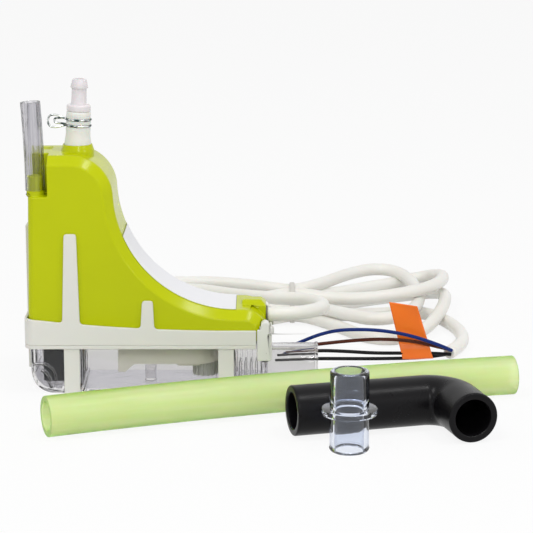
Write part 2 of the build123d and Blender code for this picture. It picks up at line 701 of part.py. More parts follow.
with BuildPart() as spring_clip:
    for height in (SLEEVE_WAIST_Z, SLEEVE_WAIST_Z + WIRE_CLIP_PITCH):
        with BuildLine(DISCHARGE_TOP.offset(height)) as hoop:
            CenterArc((0, 0), WIRE_HOOP_R, EAR_ANGLE - 180, 360 - 2 * EAR_ANGLE)
        with BuildSketch(Plane(hoop.line @ 0, z_dir=hoop.line % 0)):
            Circle(WIRE_CLIP_R)
        sweep(path=hoop.line)
    for side, reach, spread in ((1, EAR_LONG, EAR_SPREAD), (-1, EAR_SHORT, 0)):
        with BuildLine(DISCHARGE_TOP) as ear:
            FilletPolyline(
                (EAR_ROOT_X, side * EAR_ROOT_Y, SLEEVE_WAIST_Z),
                (-reach, side * EAR_ROOT_Y, SLEEVE_WAIST_Z - spread),
                (-reach, side * EAR_ROOT_Y, SLEEVE_WAIST_Z + WIRE_CLIP_PITCH + spread),
                (EAR_ROOT_X, side * EAR_ROOT_Y, SLEEVE_WAIST_Z + WIRE_CLIP_PITCH),
                radius=2 * WIRE_CLIP_R,
            )
        with BuildSketch(Plane(ear.line @ 0, z_dir=ear.line % 0)):
            Circle(WIRE_CLIP_R)
        sweep(path=ear.line)

with BuildPart() as cable_bush:
    with BuildSketch(side_plane(GLAND_RIGHT)):
        with Locations((0, GLAND_Z)):
            Circle(BUSH_R)
            Circle(CABLE_D / 2, mode=Mode.SUBTRACT)
    extrude(amount=-BUSH_LENGTH)

with BuildPart() as clip_pins:
    for side in (-1, 1):
        with BuildSketch(front_plane(side * PIN_OUT)):
            with Locations((CLIP_AXIS_X, CLIP_AXIS_Z)):
                Circle(PIN_R)
        extrude(amount=side * (PIN_OUT - PIN_IN))

# ---------------------------------------------------------------- base plate and its fittings
with BuildPart() as base_plate:
    with BuildSketch(Plane.XY.offset(SPLIT_Z)):
        with Locations(((PLATE_LEFT + PLATE_RIGHT) / 2, 0)):
            Rectangle(PLATE_RIGHT - PLATE_LEFT, 2 * PLATE_HALF)
        chamfer(vertices().group_by(Axis.X)[-1], INNER_BEVEL)
    extrude(amount=PLATE_T)
    with BuildSketch(Plane.XY.offset(SPLIT_Z)):                     # float well
        with Locations((WELL_X, 0)):
            Rectangle(WELL_LENGTH, WELL_WIDTH)
    extrude(amount=WELL_TOP - SPLIT_Z)
    with BuildSketch(Plane.XY.offset(PLATE_TOP)):                   # pillars under the pump
        with Locations(*PILLARS):
            Circle(PILLAR_R)
    extrude(amount=YOKE_BOTTOM - LOWER_MOUNT_T - PLATE_TOP)
    with BuildSketch(Plane.XY.offset(SPLIT_Z)):
        with Locations((WELL_X, 0)):
            Rectangle(WELL_LENGTH - 2 * WELL_WALL, WELL_WIDTH - 2 * WELL_WALL)
    extrude(amount=WELL_TOP - WELL_WALL - SPLIT_Z, mode=Mode.SUBTRACT)
    with BuildSketch(Plane.XY.offset(BLOCK_BOTTOM)):                # sump block, round at the inlet
        with Locations((BLOCK_LEFT, 0)):
            Rectangle(BLOCK_CENTRE - BLOCK_LEFT, BLOCK_WIDTH, align=(Align.MIN, Align.CENTER))
        with Locations((BLOCK_CENTRE, 0)):
            Circle(BLOCK_WIDTH / 2)
    extrude(amount=SPLIT_Z - BLOCK_BOTTOM)
    with BuildSketch(Plane.XY.offset(BLOCK_BOTTOM + BLOCK_WALL)):
        with Locations((BLOCK_LEFT + BLOCK_WALL, 0)):
            Rectangle(
                BLOCK_CENTRE - BLOCK_LEFT - BLOCK_WALL, BLOCK_WIDTH - 2 * BLOCK_WALL,
                align=(Align.MIN, Align.CENTER),
            )
        with Locations((BLOCK_CENTRE, 0)):
            Circle(BLOCK_WIDTH / 2 - BLOCK_WALL)
    extrude(amount=SPLIT_Z - BLOCK_BOTTOM - BLOCK_WALL, mode=Mode.SUBTRACT)
    with BuildSketch(Plane.XY.offset(BUMP_BOTTOM)):
        with Locations((BUMP_X, 0)):
            Rectangle(BUMP_LENGTH, BUMP_WIDTH)
    extrude(amount=BLOCK_BOTTOM - BUMP_BOTTOM)
    with BuildSketch(Plane.XY.offset(BUMP_BOTTOM)):
        with Locations((STRAINER_X, 0)):
            Circle(STRAINER_R + MOVE_GAP)
    extrude(amount=BLOCK_BOTTOM - BUMP_BOTTOM, mode=Mode.SUBTRACT)
    with BuildSketch(Plane.XY.offset(BLOCK_BOTTOM)):                # seat of the strainer
        with Locations((STRAINER_X, 0)):
            Circle(STRAINER_BORE_R)
    extrude(amount=BLOCK_WALL, mode=Mode.SUBTRACT)
    with BuildSketch(front_plane(0)):                               # guide tabs beside the block
        with BuildLine():
            Polyline(
                (TAB_LEFT, SPLIT_Z),
                (TAB_LEFT, TAB_BOTTOM),
                (TAB_LEFT + TAB_FLAT, TAB_BOTTOM),
                (BLOCK_LEFT, BLOCK_BOTTOM),
                (BLOCK_LEFT, SPLIT_Z),
                close=True,
            )
        make_face()
    extrude(amount=BLOCK_WIDTH / 2, both=True)
    with BuildSketch(Plane.XY.offset(TAB_BOTTOM)):
        with Locations((TAB_LEFT, 0)):
            Rectangle(BLOCK_LEFT - TAB_LEFT, BLOCK_WIDTH - 4 * BLOCK_WALL,
                      align=(Align.MIN, Align.CENTER))
    extrude(amount=SPLIT_Z - TAB_BOTTOM, mode=Mode.SUBTRACT)
    with BuildSketch(Plane.XY.offset(PLATE_TOP)):                   # suction nipple, board posts
        with Locations((INLET_X, 0)):
            Circle(NIPPLE_R)
    extrude(amount=NIPPLE_H)
    with BuildSketch(Plane.XY.offset(PLATE_TOP + NIPPLE_H)):
        with Locations((INLET_X, 0)):
            Circle(NIPPLE_BORE_R)
    extrude(amount=-NIPPLE_H - PLATE_T, mode=Mode.SUBTRACT)
    with BuildSketch(Plane.XY.offset(PLATE_TOP)):
        with Locations(*BOARD_POSTS):
            Circle(POST_R)
    extrude(amount=BOARD_Z - PLATE_TOP)
    with BuildSketch(Plane.XY.offset(BOARD_Z)):
        with Locations(*BOARD_POSTS):
            Circle(BOARD_SCREW_R)
    extrude(amount=PLATE_TOP - BOARD_Z, mode=Mode.SUBTRACT)
    with BuildSketch(Plane.XY.offset(SPLIT_Z)):
        with Locations(*SCREW_PLACES):
            Circle(SCREW_R)
    extrude(amount=PLATE_T, mode=Mode.SUBTRACT)

with BuildPart() as base_seal:
    with BuildSketch(Plane.XY.offset(SPLIT_Z - SEAL_T)):
        with Locations(((TRAY_LEFT + TRAY_RIGHT) / 2, 0)):
            RectangleRounded(SEAL_LENGTH, SEAL_WIDTH, SEAL_CORNER)
            RectangleRounded(SEAL_LENGTH - 2 * SEAL_LIP, SEAL_WIDTH - 2 * SEAL_LIP,
                             SEAL_CORNER - SEAL_LIP, mode=Mode.SUBTRACT)
    extrude(amount=SEAL_T)

with BuildPart() as inlet_strainer:
    with BuildSketch(Plane.XY.offset(STRAINER_BOTTOM)):
        with Locations((STRAINER_X, 0)):
            Circle(STRAINER_R - STRAINER_RIB)
            with PolarLocations(STRAINER_R - STRAINER_RIB, STRAINER_RIBS):
                Rectangle(2 * STRAINER_RIB, STRAINER_RIB)
    extrude(amount=BLOCK_BOTTOM - STRAINER_BOTTOM)
    with BuildSketch(Plane.XY.offset(BLOCK_BOTTOM)):
        with Locations((STRAINER_X, 0)):
            Circle(STRAINER_BORE_R)
    extrude(amount=BLOCK_WALL)
    with BuildSketch(Plane.XY.offset(STRAINER_BOTTOM + STRAINER_RIB)):
        with Locations((STRAINER_X, 0)):
            Circle(STRAINER_BORE_R - STRAINER_RIB)
    extrude(amount=SPLIT_Z, mode=Mode.SUBTRACT)

with BuildPart() as base_screws:
    with BuildSketch(Plane.XY.offset(SPLIT_Z - SCREW_HEAD_T)):
        with Locations(*SCREW_PLACES):
            Circle(SCREW_HEAD_R)
    extrude(amount=SCREW_HEAD_T)
    with BuildSketch(Plane.XY.offset(SPLIT_Z)):
        with Locations(*SCREW_PLACES):
            Circle(SCREW_R)
    extrude(amount=PLATE_T + SCREW_BITE)

# ---------------------------------------------------------------- float
with BuildPart() as float_block:
    with BuildSketch(Plane.XY.offset(FLOAT_Z)):
        with Locations((FLOAT_X, 0)):
            RectangleRounded(FLOAT_LENGTH, FLOAT_WIDTH, FLOAT_CORNER)
    extrude(amount=FLOAT_HEIGHT)
    with BuildSketch(Plane.XY.offset(FLOAT_Z + FLOAT_HEIGHT)):
        with Locations((FLOAT_X, 0)):
            Circle(MAGNET_R)
    extrude(amount=-MAGNET_H, mode=Mode.SUBTRACT)

with BuildPart() as float_magnet:
    with BuildSketch(Plane.XY.offset(FLOAT_Z + FLOAT_HEIGHT - MAGNET_H)):
        with Locations((FLOAT_X, 0)):
            Circle(MAGNET_R)
    extrude(amount=MAGNET_H)

# ---------------------------------------------------------------- solenoid piston pump
with BuildPart() as yoke_frame:
    with BuildSketch(Plane.XZ):
        with Locations((PUMP_X, YOKE_BOTTOM + YOKE_HEIGHT / 2)):
            Rectangle(2 * YOKE_HALF, YOKE_HEIGHT)
            Rectangle(2 * (YOKE_HALF - YOKE_T), YOKE_HEIGHT - 2 * YOKE_T, mode=Mode.SUBTRACT)
    extrude(amount=YOKE_DEPTH / 2, both=True)
    with BuildSketch(Plane.XY.offset(YOKE_BOTTOM)):
        with Locations((PUMP_X, 0)):
            Circle(BARREL_R)
    extrude(amount=YOKE_HEIGHT, mode=Mode.SUBTRACT)

with BuildPart() as coil_bobbin:
    with BuildSketch(Plane.XY.offset(BOBBIN_BOTTOM)):
        with Locations((PUMP_X, 0)):
            Circle(BARREL_R + BOBBIN_WALL)
    extrude(amount=BOBBIN_LENGTH)
    for bottom in (BOBBIN_BOTTOM, BOBBIN_BOTTOM + BOBBIN_LENGTH - BOBBIN_WALL):
        with BuildSketch(Plane.XY.offset(bottom)):
            with Locations((PUMP_X, 0)):
                Circle(BOBBIN_R)
        extrude(amount=BOBBIN_WALL)
    with BuildSketch(Plane.XY.offset(BOBBIN_BOTTOM)):
        with Locations((PUMP_X, 0)):
            Circle(BARREL_R)
    extrude(amount=BOBBIN_LENGTH, mode=Mode.SUBTRACT)

with BuildPart() as coil_winding:
    with BuildSketch(Plane.XY.offset(BOBBIN_BOTTOM + BOBBIN_WALL)):
        with Locations((PUMP_X, 0)):
            Circle(WINDING_R)
            Circle(BARREL_R + BOBBIN_WALL, mode=Mode.SUBTRACT)
    extrude(amount=BOBBIN_LENGTH - 2 * BOBBIN_WALL)

with BuildPart() as pump_barrel:
    with BuildSketch(Plane.XY.offset(BARREL_BOTTOM)):
        with Locations((PUMP_X, 0)):
            Circle(BARREL_R)
            Circle(BARREL_BORE_R, mode=Mode.SUBTRACT)
    extrude(amount=BARREL_TOP - BARREL_BOTTOM)

with BuildPart() as plunger:
    with BuildSketch(Plane.XZ):
        with BuildLine():
            Polyline(
                (PUMP_X + PLUNGER_BORE_R, PLUNGER_Z),
                (PUMP_X + PLUNGER_R, PLUNGER_Z),
                (PUMP_X + PLUNGER_R, PLUNGER_Z + PLUNGER_LENGTH - 3 * RING_W),
                (PUMP_X + PLUNGER_R - RING_D, PLUNGER_Z + PLUNGER_LENGTH - 3 * RING_W),
                (PUMP_X + PLUNGER_R - RING_D, PLUNGER_Z + PLUNGER_LENGTH - 2 * RING_W),
                (PUMP_X + PLUNGER_R, PLUNGER_Z + PLUNGER_LENGTH - 2 * RING_W),
                (PUMP_X + PLUNGER_R, PLUNGER_Z + PLUNGER_LENGTH),
                (PUMP_X + PLUNGER_BORE_R, PLUNGER_Z + PLUNGER_LENGTH),
                close=True,
            )
        make_face()
    revolve(axis=PUMP_AXIS)

with BuildPart() as inlet_valve:
    with BuildSketch(Plane.XY.offset(BARREL_BOTTOM)):
        with Locations((PUMP_X, 0)):
            Circle(VALVE_R)
    extrude(amount=-VALVE_H)
    with BuildSketch(Plane.XY.offset(BARREL_BOTTOM - VALVE_H)):
        with Locations((PUMP_X, 0)):
            Circle(NIPPLE_R)
    extrude(amount=-VALVE_NIPPLE)
    with BuildSketch(Plane.XY.offset(BARREL_BOTTOM)):
        with Locations((PUMP_X, 0)):
            Circle(NIPPLE_BORE_R)
    extrude(amount=-VALVE_H - VALVE_NIPPLE, mode=Mode.SUBTRACT)

with BuildPart() as outlet_valve:
    with BuildSketch(Plane.XY.offset(BARREL_TOP)):
        with Locations((PUMP_X, 0)):
            Circle(VALVE_R)
    extrude(amount=OUTLET_H)
    with BuildSketch(Plane.XY.offset(BARREL_TOP + OUTLET_H)):
        with Locations((PUMP_X, 0)):
            Circle(SLEEVE_BORE_R)
    extrude(amount=OUTLET_NIPPLE)
    with BuildSketch(Plane.XY.offset(BARREL_TOP)):
        with Locations((PUMP_X, 0)):
            Circle(BARB_BORE_R)
    extrude(amount=OUTLET_H + OUTLET_NIPPLE, mode=Mode.SUBTRACT)

with BuildPart() as lower_mount:
    with BuildSketch(Plane.XY.offset(YOKE_BOTTOM - LOWER_MOUNT_T)):
        with Locations((PUMP_X, 0)):
            RectangleRounded(MOUNT_LENGTH, MOUNT_WIDTH, MOUNT_CORNER)
            Circle(VALVE_R, mode=Mode.SUBTRACT)
    extrude(amount=LOWER_MOUNT_T)

with BuildPart() as upper_mount:
    with BuildSketch(Plane.XY.offset(YOKE_BOTTOM + YOKE_HEIGHT)):
        with Locations((PUMP_X, 0)):
            RectangleRounded(MOUNT_LENGTH, MOUNT_WIDTH, MOUNT_CORNER)
            Circle(BARREL_R, mode=Mode.SUBTRACT)
    extrude(amount=UPPER_MOUNT_TOP - YOKE_BOTTOM - YOKE_HEIGHT)

with BuildPart() as lower_spring:
    with BuildLine() as coil:
        Helix(LOWER_SPRING_H / SPRING_TURNS, LOWER_SPRING_H, SPRING_R,
              center=(PUMP_X, 0, BARREL_BOTTOM + SPRING_WIRE_R))
    with BuildSketch(Plane(coil.line @ 0, z_dir=coil.line % 0)):
        Circle(SPRING_WIRE_R)
    sweep(path=coil.line, is_frenet=True)

with BuildPart() as upper_spring:
    with BuildLine() as coil:
        Helix(UPPER_SPRING_H / SPRING_TURNS, UPPER_SPRING_H, SPRING_R,
              center=(PUMP_X, 0, PLUNGER_Z + PLUNGER_LENGTH + SPRING_WIRE_R))
    with BuildSketch(Plane(coil.line @ 0, z_dir=coil.line % 0)):
        Circle(SPRING_WIRE_R)
    sweep(path=coil.line, is_frenet=True)

with BuildPart() as inlet_tube:
    with BuildLine() as run:
        FilletPolyline(
            (INLET_X, 0, PLATE_TOP),
            (INLET_X, 0, INLET_RUN_Z),
            (PUMP_X, 0, INLET_RUN_Z),
            (PUMP_X, 0, BARREL_BOTTOM - VALVE_H),
            radius=INLET_BEND,
        )
    with BuildSketch(Plane.XY.offset(PLATE_TOP)):
        with Locations((INLET_X, 0)):
            Circle(INLET_TUBE_R)
            Circle(NIPPLE_R, mode=Mode.SUBTRACT)
    sweep(path=run.line)

# ---------------------------------------------------------------- control electronics
with BuildPart() as control_board:
    with BuildSketch(Plane.XY.offset(BOARD_Z)):
        with Locations((BOARD_X, 0)):
            Rectangle(BOARD_LENGTH, BOARD_WIDTH)
        with Locations(*BOARD_POSTS):
            Circle(BOARD_SCREW_R, mode=Mode.SUBTRACT)
    extrude(amount=BOARD_T)

with BuildPart() as board_components:
    for x, y, length, width, height in BOARD_PARTS:
        with BuildSketch(Plane.XY.offset(BOARD_Z + BOARD_T)):
            with Locations((x, y)):
                Rectangle(length, width)
        extrude(amount=height)

with BuildPart() as board_screws:
    with BuildSketch(Plane.XY.offset(BOARD_Z + BOARD_T)):
        with Locations(*BOARD_POSTS):
            Circle(POST_R)
    extrude(amount=BOARD_SCREW_HEAD)
    with BuildSketch(Plane.XY.offset(BOARD_Z + BOARD_T)):
        with Locations(*BOARD_POSTS):
            Circle(BOARD_SCREW_R)
    extrude(amount=PLATE_TOP - BOARD_Z - BOARD_T)

with BuildPart() as hall_sensor:
    with BuildSketch(Plane.XY.offset(WELL_TOP)):
        with Locations((FLOAT_X, SENSOR_Y)):
            Rectangle(SENSOR_LENGTH, SENSOR_WIDTH)
    extrude(amount=SENSOR_T)

with BuildPart() as thermal_cutout:
    with BuildSketch(Plane.XZ.offset(-WINDING_R)):
        with Locations((PUMP_X, CUTOUT_Z)):
            Rectangle(CUTOUT_WIDTH, CUTOUT_LENGTH)
    extrude(amount=-CUTOUT_T)

# ---------------------------------------------------------------- reservoir
with BuildPart() as tray_hollow:
    with BuildSketch(Plane.XY.offset(TRAY_WALL)):
        with Locations(((TRAY_LEFT + TRAY_RIGHT) / 2, 0)):
            RectangleRounded(
                TRAY_RIGHT - TRAY_LEFT - 2 * TRAY_WALL, TRAY_WIDTH - 2 * TRAY_WALL,
                TRAY_PLAN_R - TRAY_WALL,
            )
    extrude(amount=SPLIT_Z)
    with BuildSketch(Plane.XZ):
        make_face(corner_sliver(TRAY_CORNER_R - TRAY_WALL))
    extrude(amount=TRAY_WIDTH, both=True, mode=Mode.SUBTRACT)

with BuildPart() as reservoir_tray:
    with BuildSketch(Plane.XY):
        with Locations(((TRAY_LEFT + TRAY_RIGHT) / 2, 0)):
            RectangleRounded(TRAY_RIGHT - TRAY_LEFT, TRAY_WIDTH, TRAY_PLAN_R)
    extrude(amount=SPLIT_Z)
    with BuildSketch(Plane.XZ):                                     # rolled left end
        make_face(corner_sliver(TRAY_CORNER_R))
    extrude(amount=TRAY_WIDTH, both=True, mode=Mode.SUBTRACT)
    with BuildSketch(Plane.XY.offset(SPLIT_Z - RIM_HEIGHT)):
        with Locations(((TRAY_LEFT + TRAY_RIGHT) / 2, 0)):
            RectangleRounded(
                TRAY_RIGHT - TRAY_LEFT + 2 * RIM_OVERHANG, TRAY_WIDTH + 2 * RIM_OVERHANG,
                TRAY_PLAN_R + RIM_OVERHANG,
            )
    extrude(amount=RIM_HEIGHT)
    with BuildSketch(side_plane(TRAY_RIGHT - TRAY_WALL)):           # inlet spigot
        with Locations((0, SPIGOT_Z)):
            Circle(SPIGOT_R)
    extrude(amount=SPIGOT_END - TRAY_RIGHT + TRAY_WALL)
    with BuildSketch(side_plane(SPIGOT_END)):
        with Locations((0, SPIGOT_Z)):
            Circle(SPIGOT_R + SPIGOT_RIM)
    extrude(amount=-SPIGOT_RIM_T)
    add(tray_hollow.part, mode=Mode.SUBTRACT)
    with BuildSketch(side_plane(SPIGOT_END)):
        with Locations((0, SPIGOT_Z)):
            Circle(SPIGOT_BORE_R)
    extrude(amount=TRAY_RIGHT - TRAY_WALL - SPIGOT_END, mode=Mode.SUBTRACT)
    # pads over the strap grooves, float rails, middle post
    with BuildSketch(Plane.XY.offset(TRAY_WALL)):
        with Locations(*[(x, 0) for x in LEG_XS]):
            Rectangle(LEG_WIDTH + 2 * TRAY_WALL, TRAY_WIDTH - TRAY_WALL)
    extrude(amount=LEG_STRAP)
    with BuildSketch(Plane.XY):
        with Locations(*[(x, 0) for x in LEG_XS]):
            Rectangle(LEG_WIDTH + 2 * STRAP_GAP, TRAY_WIDTH)
    extrude(amount=LEG_STRAP + STRAP_GAP, mode=Mode.SUBTRACT)
    with BuildSketch(Plane.XY.offset(TRAY_WALL)):
        with Locations(*both_sides([FLOAT_X], [RAIL_Y])):
            Rectangle(FLOAT_LENGTH - 2 * RAIL_T, RAIL_T)
    extrude(amount=FLOAT_Z - TRAY_WALL)
    with BuildSketch(Plane.XY.offset(TRAY_WALL)):
        with Locations((TRAY_POST_X, 0)):
            Circle(TRAY_POST_R)
    extrude(amount=TRAY_POST_TOP - TRAY_WALL)
    with BuildSketch(Plane.XY.offset(TRAY_WALL)):                   # float stop ribs
        with Locations(*both_sides([FLOAT_X + FLOAT_LENGTH / 2 + RAIL_T], [STOP_Y])):
            Rectangle(RAIL_T, STOP_LENGTH)
    extrude(amount=STOP_HEIGHT)
    with BuildSketch(Plane.XY.offset(TRAY_WALL)):                   # comb fins at the inlet
        with Locations(*both_sides([COMB_X + i * COMB_PITCH for i in range(COMB_COUNT)], [COMB_Y])):
            Rectangle(COMB_T, COMB_LENGTH)
    extrude(amount=COMB_TOP - TRAY_WALL)
    for side in (-1, 1):                                            # curled ribs on both long walls
        with BuildSketch(front_plane(side * (TRAY_HALF - TRAY_WALL / 2))):
            with BuildLine() as curl:
                Spline(*CURL_OUTER)
            trace(line_width=RAIL_T)
            with BuildLine() as loop:
                Spline(*CURL_INNER)
            trace(line_width=RAIL_T)
        extrude(amount=side * CURL_DEPTH)
    for side in (-1, 1):                                            # catch beads for the clip
        with BuildSketch(front_plane(side * HOOK_OUT)):
            with BuildLine():
                Polyline(
                    (TRAY_RIGHT - TRAY_WALL / 2, BEAD_Z - HOOK_RAMP),
                    (TRAY_RIGHT, BEAD_Z - HOOK_RAMP),
                    (TRAY_RIGHT + HOOK_DEPTH, BEAD_Z),
                    (TRAY_RIGHT, BEAD_Z + HOOK_DEPTH),
                    (TRAY_RIGHT - TRAY_WALL / 2, BEAD_Z + HOOK_DEPTH),
                    close=True,
                )
            make_face()
        extrude(amount=side * (HOOK_OUT - HOOK_IN))

# ---------------------------------------------------------------- cradle
with BuildPart() as cradle:
    with BuildSketch(Plane.XY.offset(CRADLE_LIP_Z)):
        with Locations((CRADLE_LEFT, 0)):
            Rectangle(CRADLE_END - CRADLE_LEFT, 2 * CRADLE_OUT, align=(Align.MIN, Align.CENTER))
        fillet(vertices().group_by(Axis.X)[0], CRADLE_CORNER)
    extrude(amount=END_FINGER_TOP - CRADLE_LIP_Z)
    with BuildSketch(Plane.XY.offset(SPLIT_Z - RIM_HEIGHT)):
        with Locations((CRADLE_LEFT + CRADLE_WALL, 0)):
            Rectangle(CRADLE_END - CRADLE_LEFT, 2 * CRADLE_IN, align=(Align.MIN, Align.CENTER))
        fillet(vertices().group_by(Axis.X)[0], CRADLE_CORNER - CRADLE_WALL)
    extrude(amount=END_FINGER_TOP, mode=Mode.SUBTRACT)
    with BuildSketch(Plane.XY.offset(CRADLE_LIP_Z)):
        with Locations((TRAY_LEFT - LIP_GAP, 0)):
            Rectangle(HEAD_RIGHT - HEAD_LEFT, TRAY_WIDTH + 2 * LIP_GAP,
                      align=(Align.MIN, Align.CENTER))
        fillet(vertices().group_by(Axis.X)[0], TRAY_PLAN_R)
    extrude(amount=RIM_HEIGHT, mode=Mode.SUBTRACT)
    with BuildSketch(front_plane(CRADLE_OUT)):                      # curved top edge and fingers
        with BuildLine():
            Spline(*CRADLE_TOP_LINE)
            Polyline(
                CRADLE_TOP_LINE[-1], (CRADLE_END, CRADLE_LIP_Z), (CRADLE_LEFT, CRADLE_LIP_Z),
                CRADLE_TOP_LINE[0],
            )
        make_face()
        with BuildLine():
            Polyline(*TALL_FINGER, close=True)
        make_face()
        with BuildLine():
            Polyline(*SMALL_FINGER, close=True)
        make_face()
        with Locations((CRADLE_LEFT, CRADLE_LIP_Z)):
            Rectangle(CRADLE_WALL, END_FINGER_TOP - CRADLE_LIP_Z, align=(Align.MIN, Align.MIN))
    extrude(amount=2 * CRADLE_OUT, mode=Mode.INTERSECT)
    with BuildSketch(side_plane(CRADLE_LEFT)):                      # frees the end finger
        with Locations((0, CRADLE_TOP_LEFT)):
            Rectangle(2 * CRADLE_OUT, END_FINGER_TOP, align=(Align.CENTER, Align.MIN))
            Rectangle(2 * END_FINGER_HALF, END_FINGER_TOP, align=(Align.CENTER, Align.MIN),
                      mode=Mode.SUBTRACT)
    extrude(amount=CRADLE_WALL, mode=Mode.SUBTRACT)
    with BuildSketch(Plane.XY):                                     # legs and the straps below
        with Locations(*[(x, 0) for x in LEG_XS]):
            Rectangle(LEG_WIDTH, 2 * LEG_OUT)
            Rectangle(LEG_WIDTH, 2 * LEG_IN, mode=Mode.SUBTRACT)
    extrude(amount=CRADLE_LIP_Z)
    with BuildSketch(Plane.XY):
        with Locations(*[(x, 0) for x in LEG_XS]):
            Rectangle(LEG_WIDTH, 2 * LEG_OUT)
    extrude(amount=LEG_STRAP)
    with BuildSketch(Plane.XY.offset(END_STUB_BOTTOM)):             # stub below the end finger
        with Locations((CRADLE_LEFT, 0)):
            Rectangle(CRADLE_WALL, 2 * END_FINGER_HALF, align=(Align.MIN, Align.CENTER))
    extrude(amount=CRADLE_LIP_Z - END_STUB_BOTTOM)

# ---------------------------------------------------------------- release clip
with BuildPart() as reservoir_clip:
    with BuildSketch(Plane.XY.offset(CLIP_BOTTOM)):
        with Locations((CLIP_LEFT, 0)):
            Rectangle(CLIP_OUT_X - CLIP_LEFT, 2 * CLIP_OUT, align=(Align.MIN, Align.CENTER))
            Rectangle(CLIP_IN_X - CLIP_LEFT, 2 * CLIP_IN, align=(Align.MIN, Align.CENTER),
                      mode=Mode.SUBTRACT)
    extrude(amount=CLIP_TOP - CLIP_BOTTOM)
    fillet(edges().filter_by(Axis.Z).group_by(Axis.X)[-1], CLIP_CORNER)
    with BuildSketch(Plane.XZ):                                     # thumb ridge
        with Locations((CLIP_OUT_X, NUB_Z)):
            Circle(NUB_R)
    extrude(amount=NUB_HALF, both=True)
    with BuildSketch(side_plane(CLIP_IN_X - NUB_R)):                # clear of spigot and lead
        with Locations((0, SPIGOT_Z)):
            Circle(SPIGOT_R + CLIP_ARCH)
        with Locations((0, CLIP_TOP)):
            Rectangle(CABLE_NOTCH, 2 * CABLE_NOTCH_DEPTH)
    extrude(amount=CLIP_OUT_X - CLIP_IN_X + 3 * NUB_R, mode=Mode.SUBTRACT)
    for side in (-1, 1):
        with BuildSketch(front_plane(side * CLIP_OUT)):             # knuckles on their necks
            with Locations((CLIP_AXIS_X, CLIP_AXIS_Z)):
                Circle(KNUCKLE_R)
                Rectangle(2 * KNUCKLE_R, CLIP_AXIS_Z - CLIP_TOP + KNUCKLE_R,
                          align=(Align.CENTER, Align.MAX))
        extrude(amount=side * CLIP_WALL)
        with BuildSketch(front_plane(side * CLIP_OUT)):
            with Locations((CLIP_AXIS_X, CLIP_AXIS_Z)):
                Circle(KNUCKLE_R)
        extrude(amount=side * (CLIP_OUT - KNUCKLE_IN))
        with BuildSketch(front_plane(side * (PIN_OUT + PIN_R))):
            with Locations((CLIP_AXIS_X, CLIP_AXIS_Z)):
                Circle(PIN_R + HINGE_CLEARANCE)
        extrude(amount=side * (PIN_OUT + PIN_R - KNUCKLE_IN), mode=Mode.SUBTRACT)
        with BuildSketch(front_plane(side * HOOK_OUT)):             # hooks under the beads
            with BuildLine():
                Polyline(
                    (CLIP_IN_X + CLIP_WALL / 2, CLIP_BOTTOM),
                    (TRAY_RIGHT + HOOK_GAP, CLIP_BOTTOM),
                    (TRAY_RIGHT + HOOK_GAP, BEAD_Z - HOOK_RAMP),
                    (TRAY_RIGHT + HOOK_GAP + HOOK_DEPTH, BEAD_Z),
                    (CLIP_IN_X + CLIP_WALL / 2, BEAD_Z),
                    close=True,
                )
            make_face()
        extrude(amount=side * (HOOK_OUT - HOOK_IN))

# ---------------------------------------------------------------- kit pieces
with BuildPart() as drain_hose:
    with BuildLine() as lay:
        ThreePointArc(*[(x, y, HOSE_R + FLOOR_GAP) for x, y in (HOSE_START, HOSE_MIDDLE, HOSE_END)])
    with BuildSketch(Plane(lay.line @ 0, z_dir=lay.line % 0)):
        Circle(HOSE_R)
        Circle(HOSE_BORE_R, mode=Mode.SUBTRACT)
    sweep(path=lay.line)

with BuildPart() as rubber_elbow:
    with BuildLine(Plane(
        (*ELBOW_START, ELBOW_R + FLOOR_GAP),
        x_dir=(math.cos(math.radians(ELBOW_TURN)), math.sin(math.radians(ELBOW_TURN)), 0),
        z_dir=(0, 0, 1),
    )) as bend:
        FilletPolyline((0, 0), (ELBOW_LONG, 0), (ELBOW_LONG, -ELBOW_SHORT), radius=ELBOW_BEND)
    with BuildSketch(Plane(bend.line @ 0, z_dir=bend.line % 0)):
        Circle(ELBOW_R)
        Circle(ELBOW_BORE_R, mode=Mode.SUBTRACT)
    sweep(path=bend.line)

with BuildPart() as hose_connector:
    with BuildSketch(Plane.XY.offset(FLOOR_GAP)):
        with Locations(CONNECTOR_AT):
            Circle(CONNECTOR_R)
    extrude(amount=CONNECTOR_H)
    chamfer(edges().group_by(Axis.Z)[0], CONNECTOR_CHAMFER)
    fillet(edges().group_by(Axis.Z)[-1], CONNECTOR_CHAMFER / 2)
    with BuildSketch(Plane.XY.offset(FLOOR_GAP + (CONNECTOR_H - CONNECTOR_FLANGE_T) / 2)):
        with Locations(CONNECTOR_AT):
            Circle(CONNECTOR_FLANGE_R)
    extrude(amount=CONNECTOR_FLANGE_T)
    with BuildSketch(Plane.XY.offset(FLOOR_GAP)):
        with Locations(CONNECTOR_AT):
            Circle(CONNECTOR_BORE_R)
    extrude(amount=CONNECTOR_H, mode=Mode.SUBTRACT)

# ---------------------------------------------------------------- mains lead
with BuildPart() as cable_lead:
    lead_line = cord_line(LEAD_ROUTE)
    with BuildSketch(Plane(lead_line @ 0, z_dir=lead_line % 0)):
        Circle(CABLE_D / 2)
    sweep(path=lead_line)

with BuildPart() as cable_tail:
    tail_line = cord_line(TAIL_ROUTE)
    with BuildSketch(Plane(tail_line @ 0, z_dir=tail_line % 0)):
        Circle(CABLE_D / 2)
    sweep(path=tail_line)

with BuildPart() as cable_coil:
    for outline, way in (
        (HANK_OUTER, Mode.ADD), (HANK_LEFT_HOLE, Mode.SUBTRACT), (HANK_RIGHT_HOLE, Mode.SUBTRACT)
    ):
        with BuildSketch(Plane.XY):
            with BuildLine():
                Spline(*outline, periodic=True)
            make_face()
        extrude(amount=HANK_HEIGHT, mode=way)

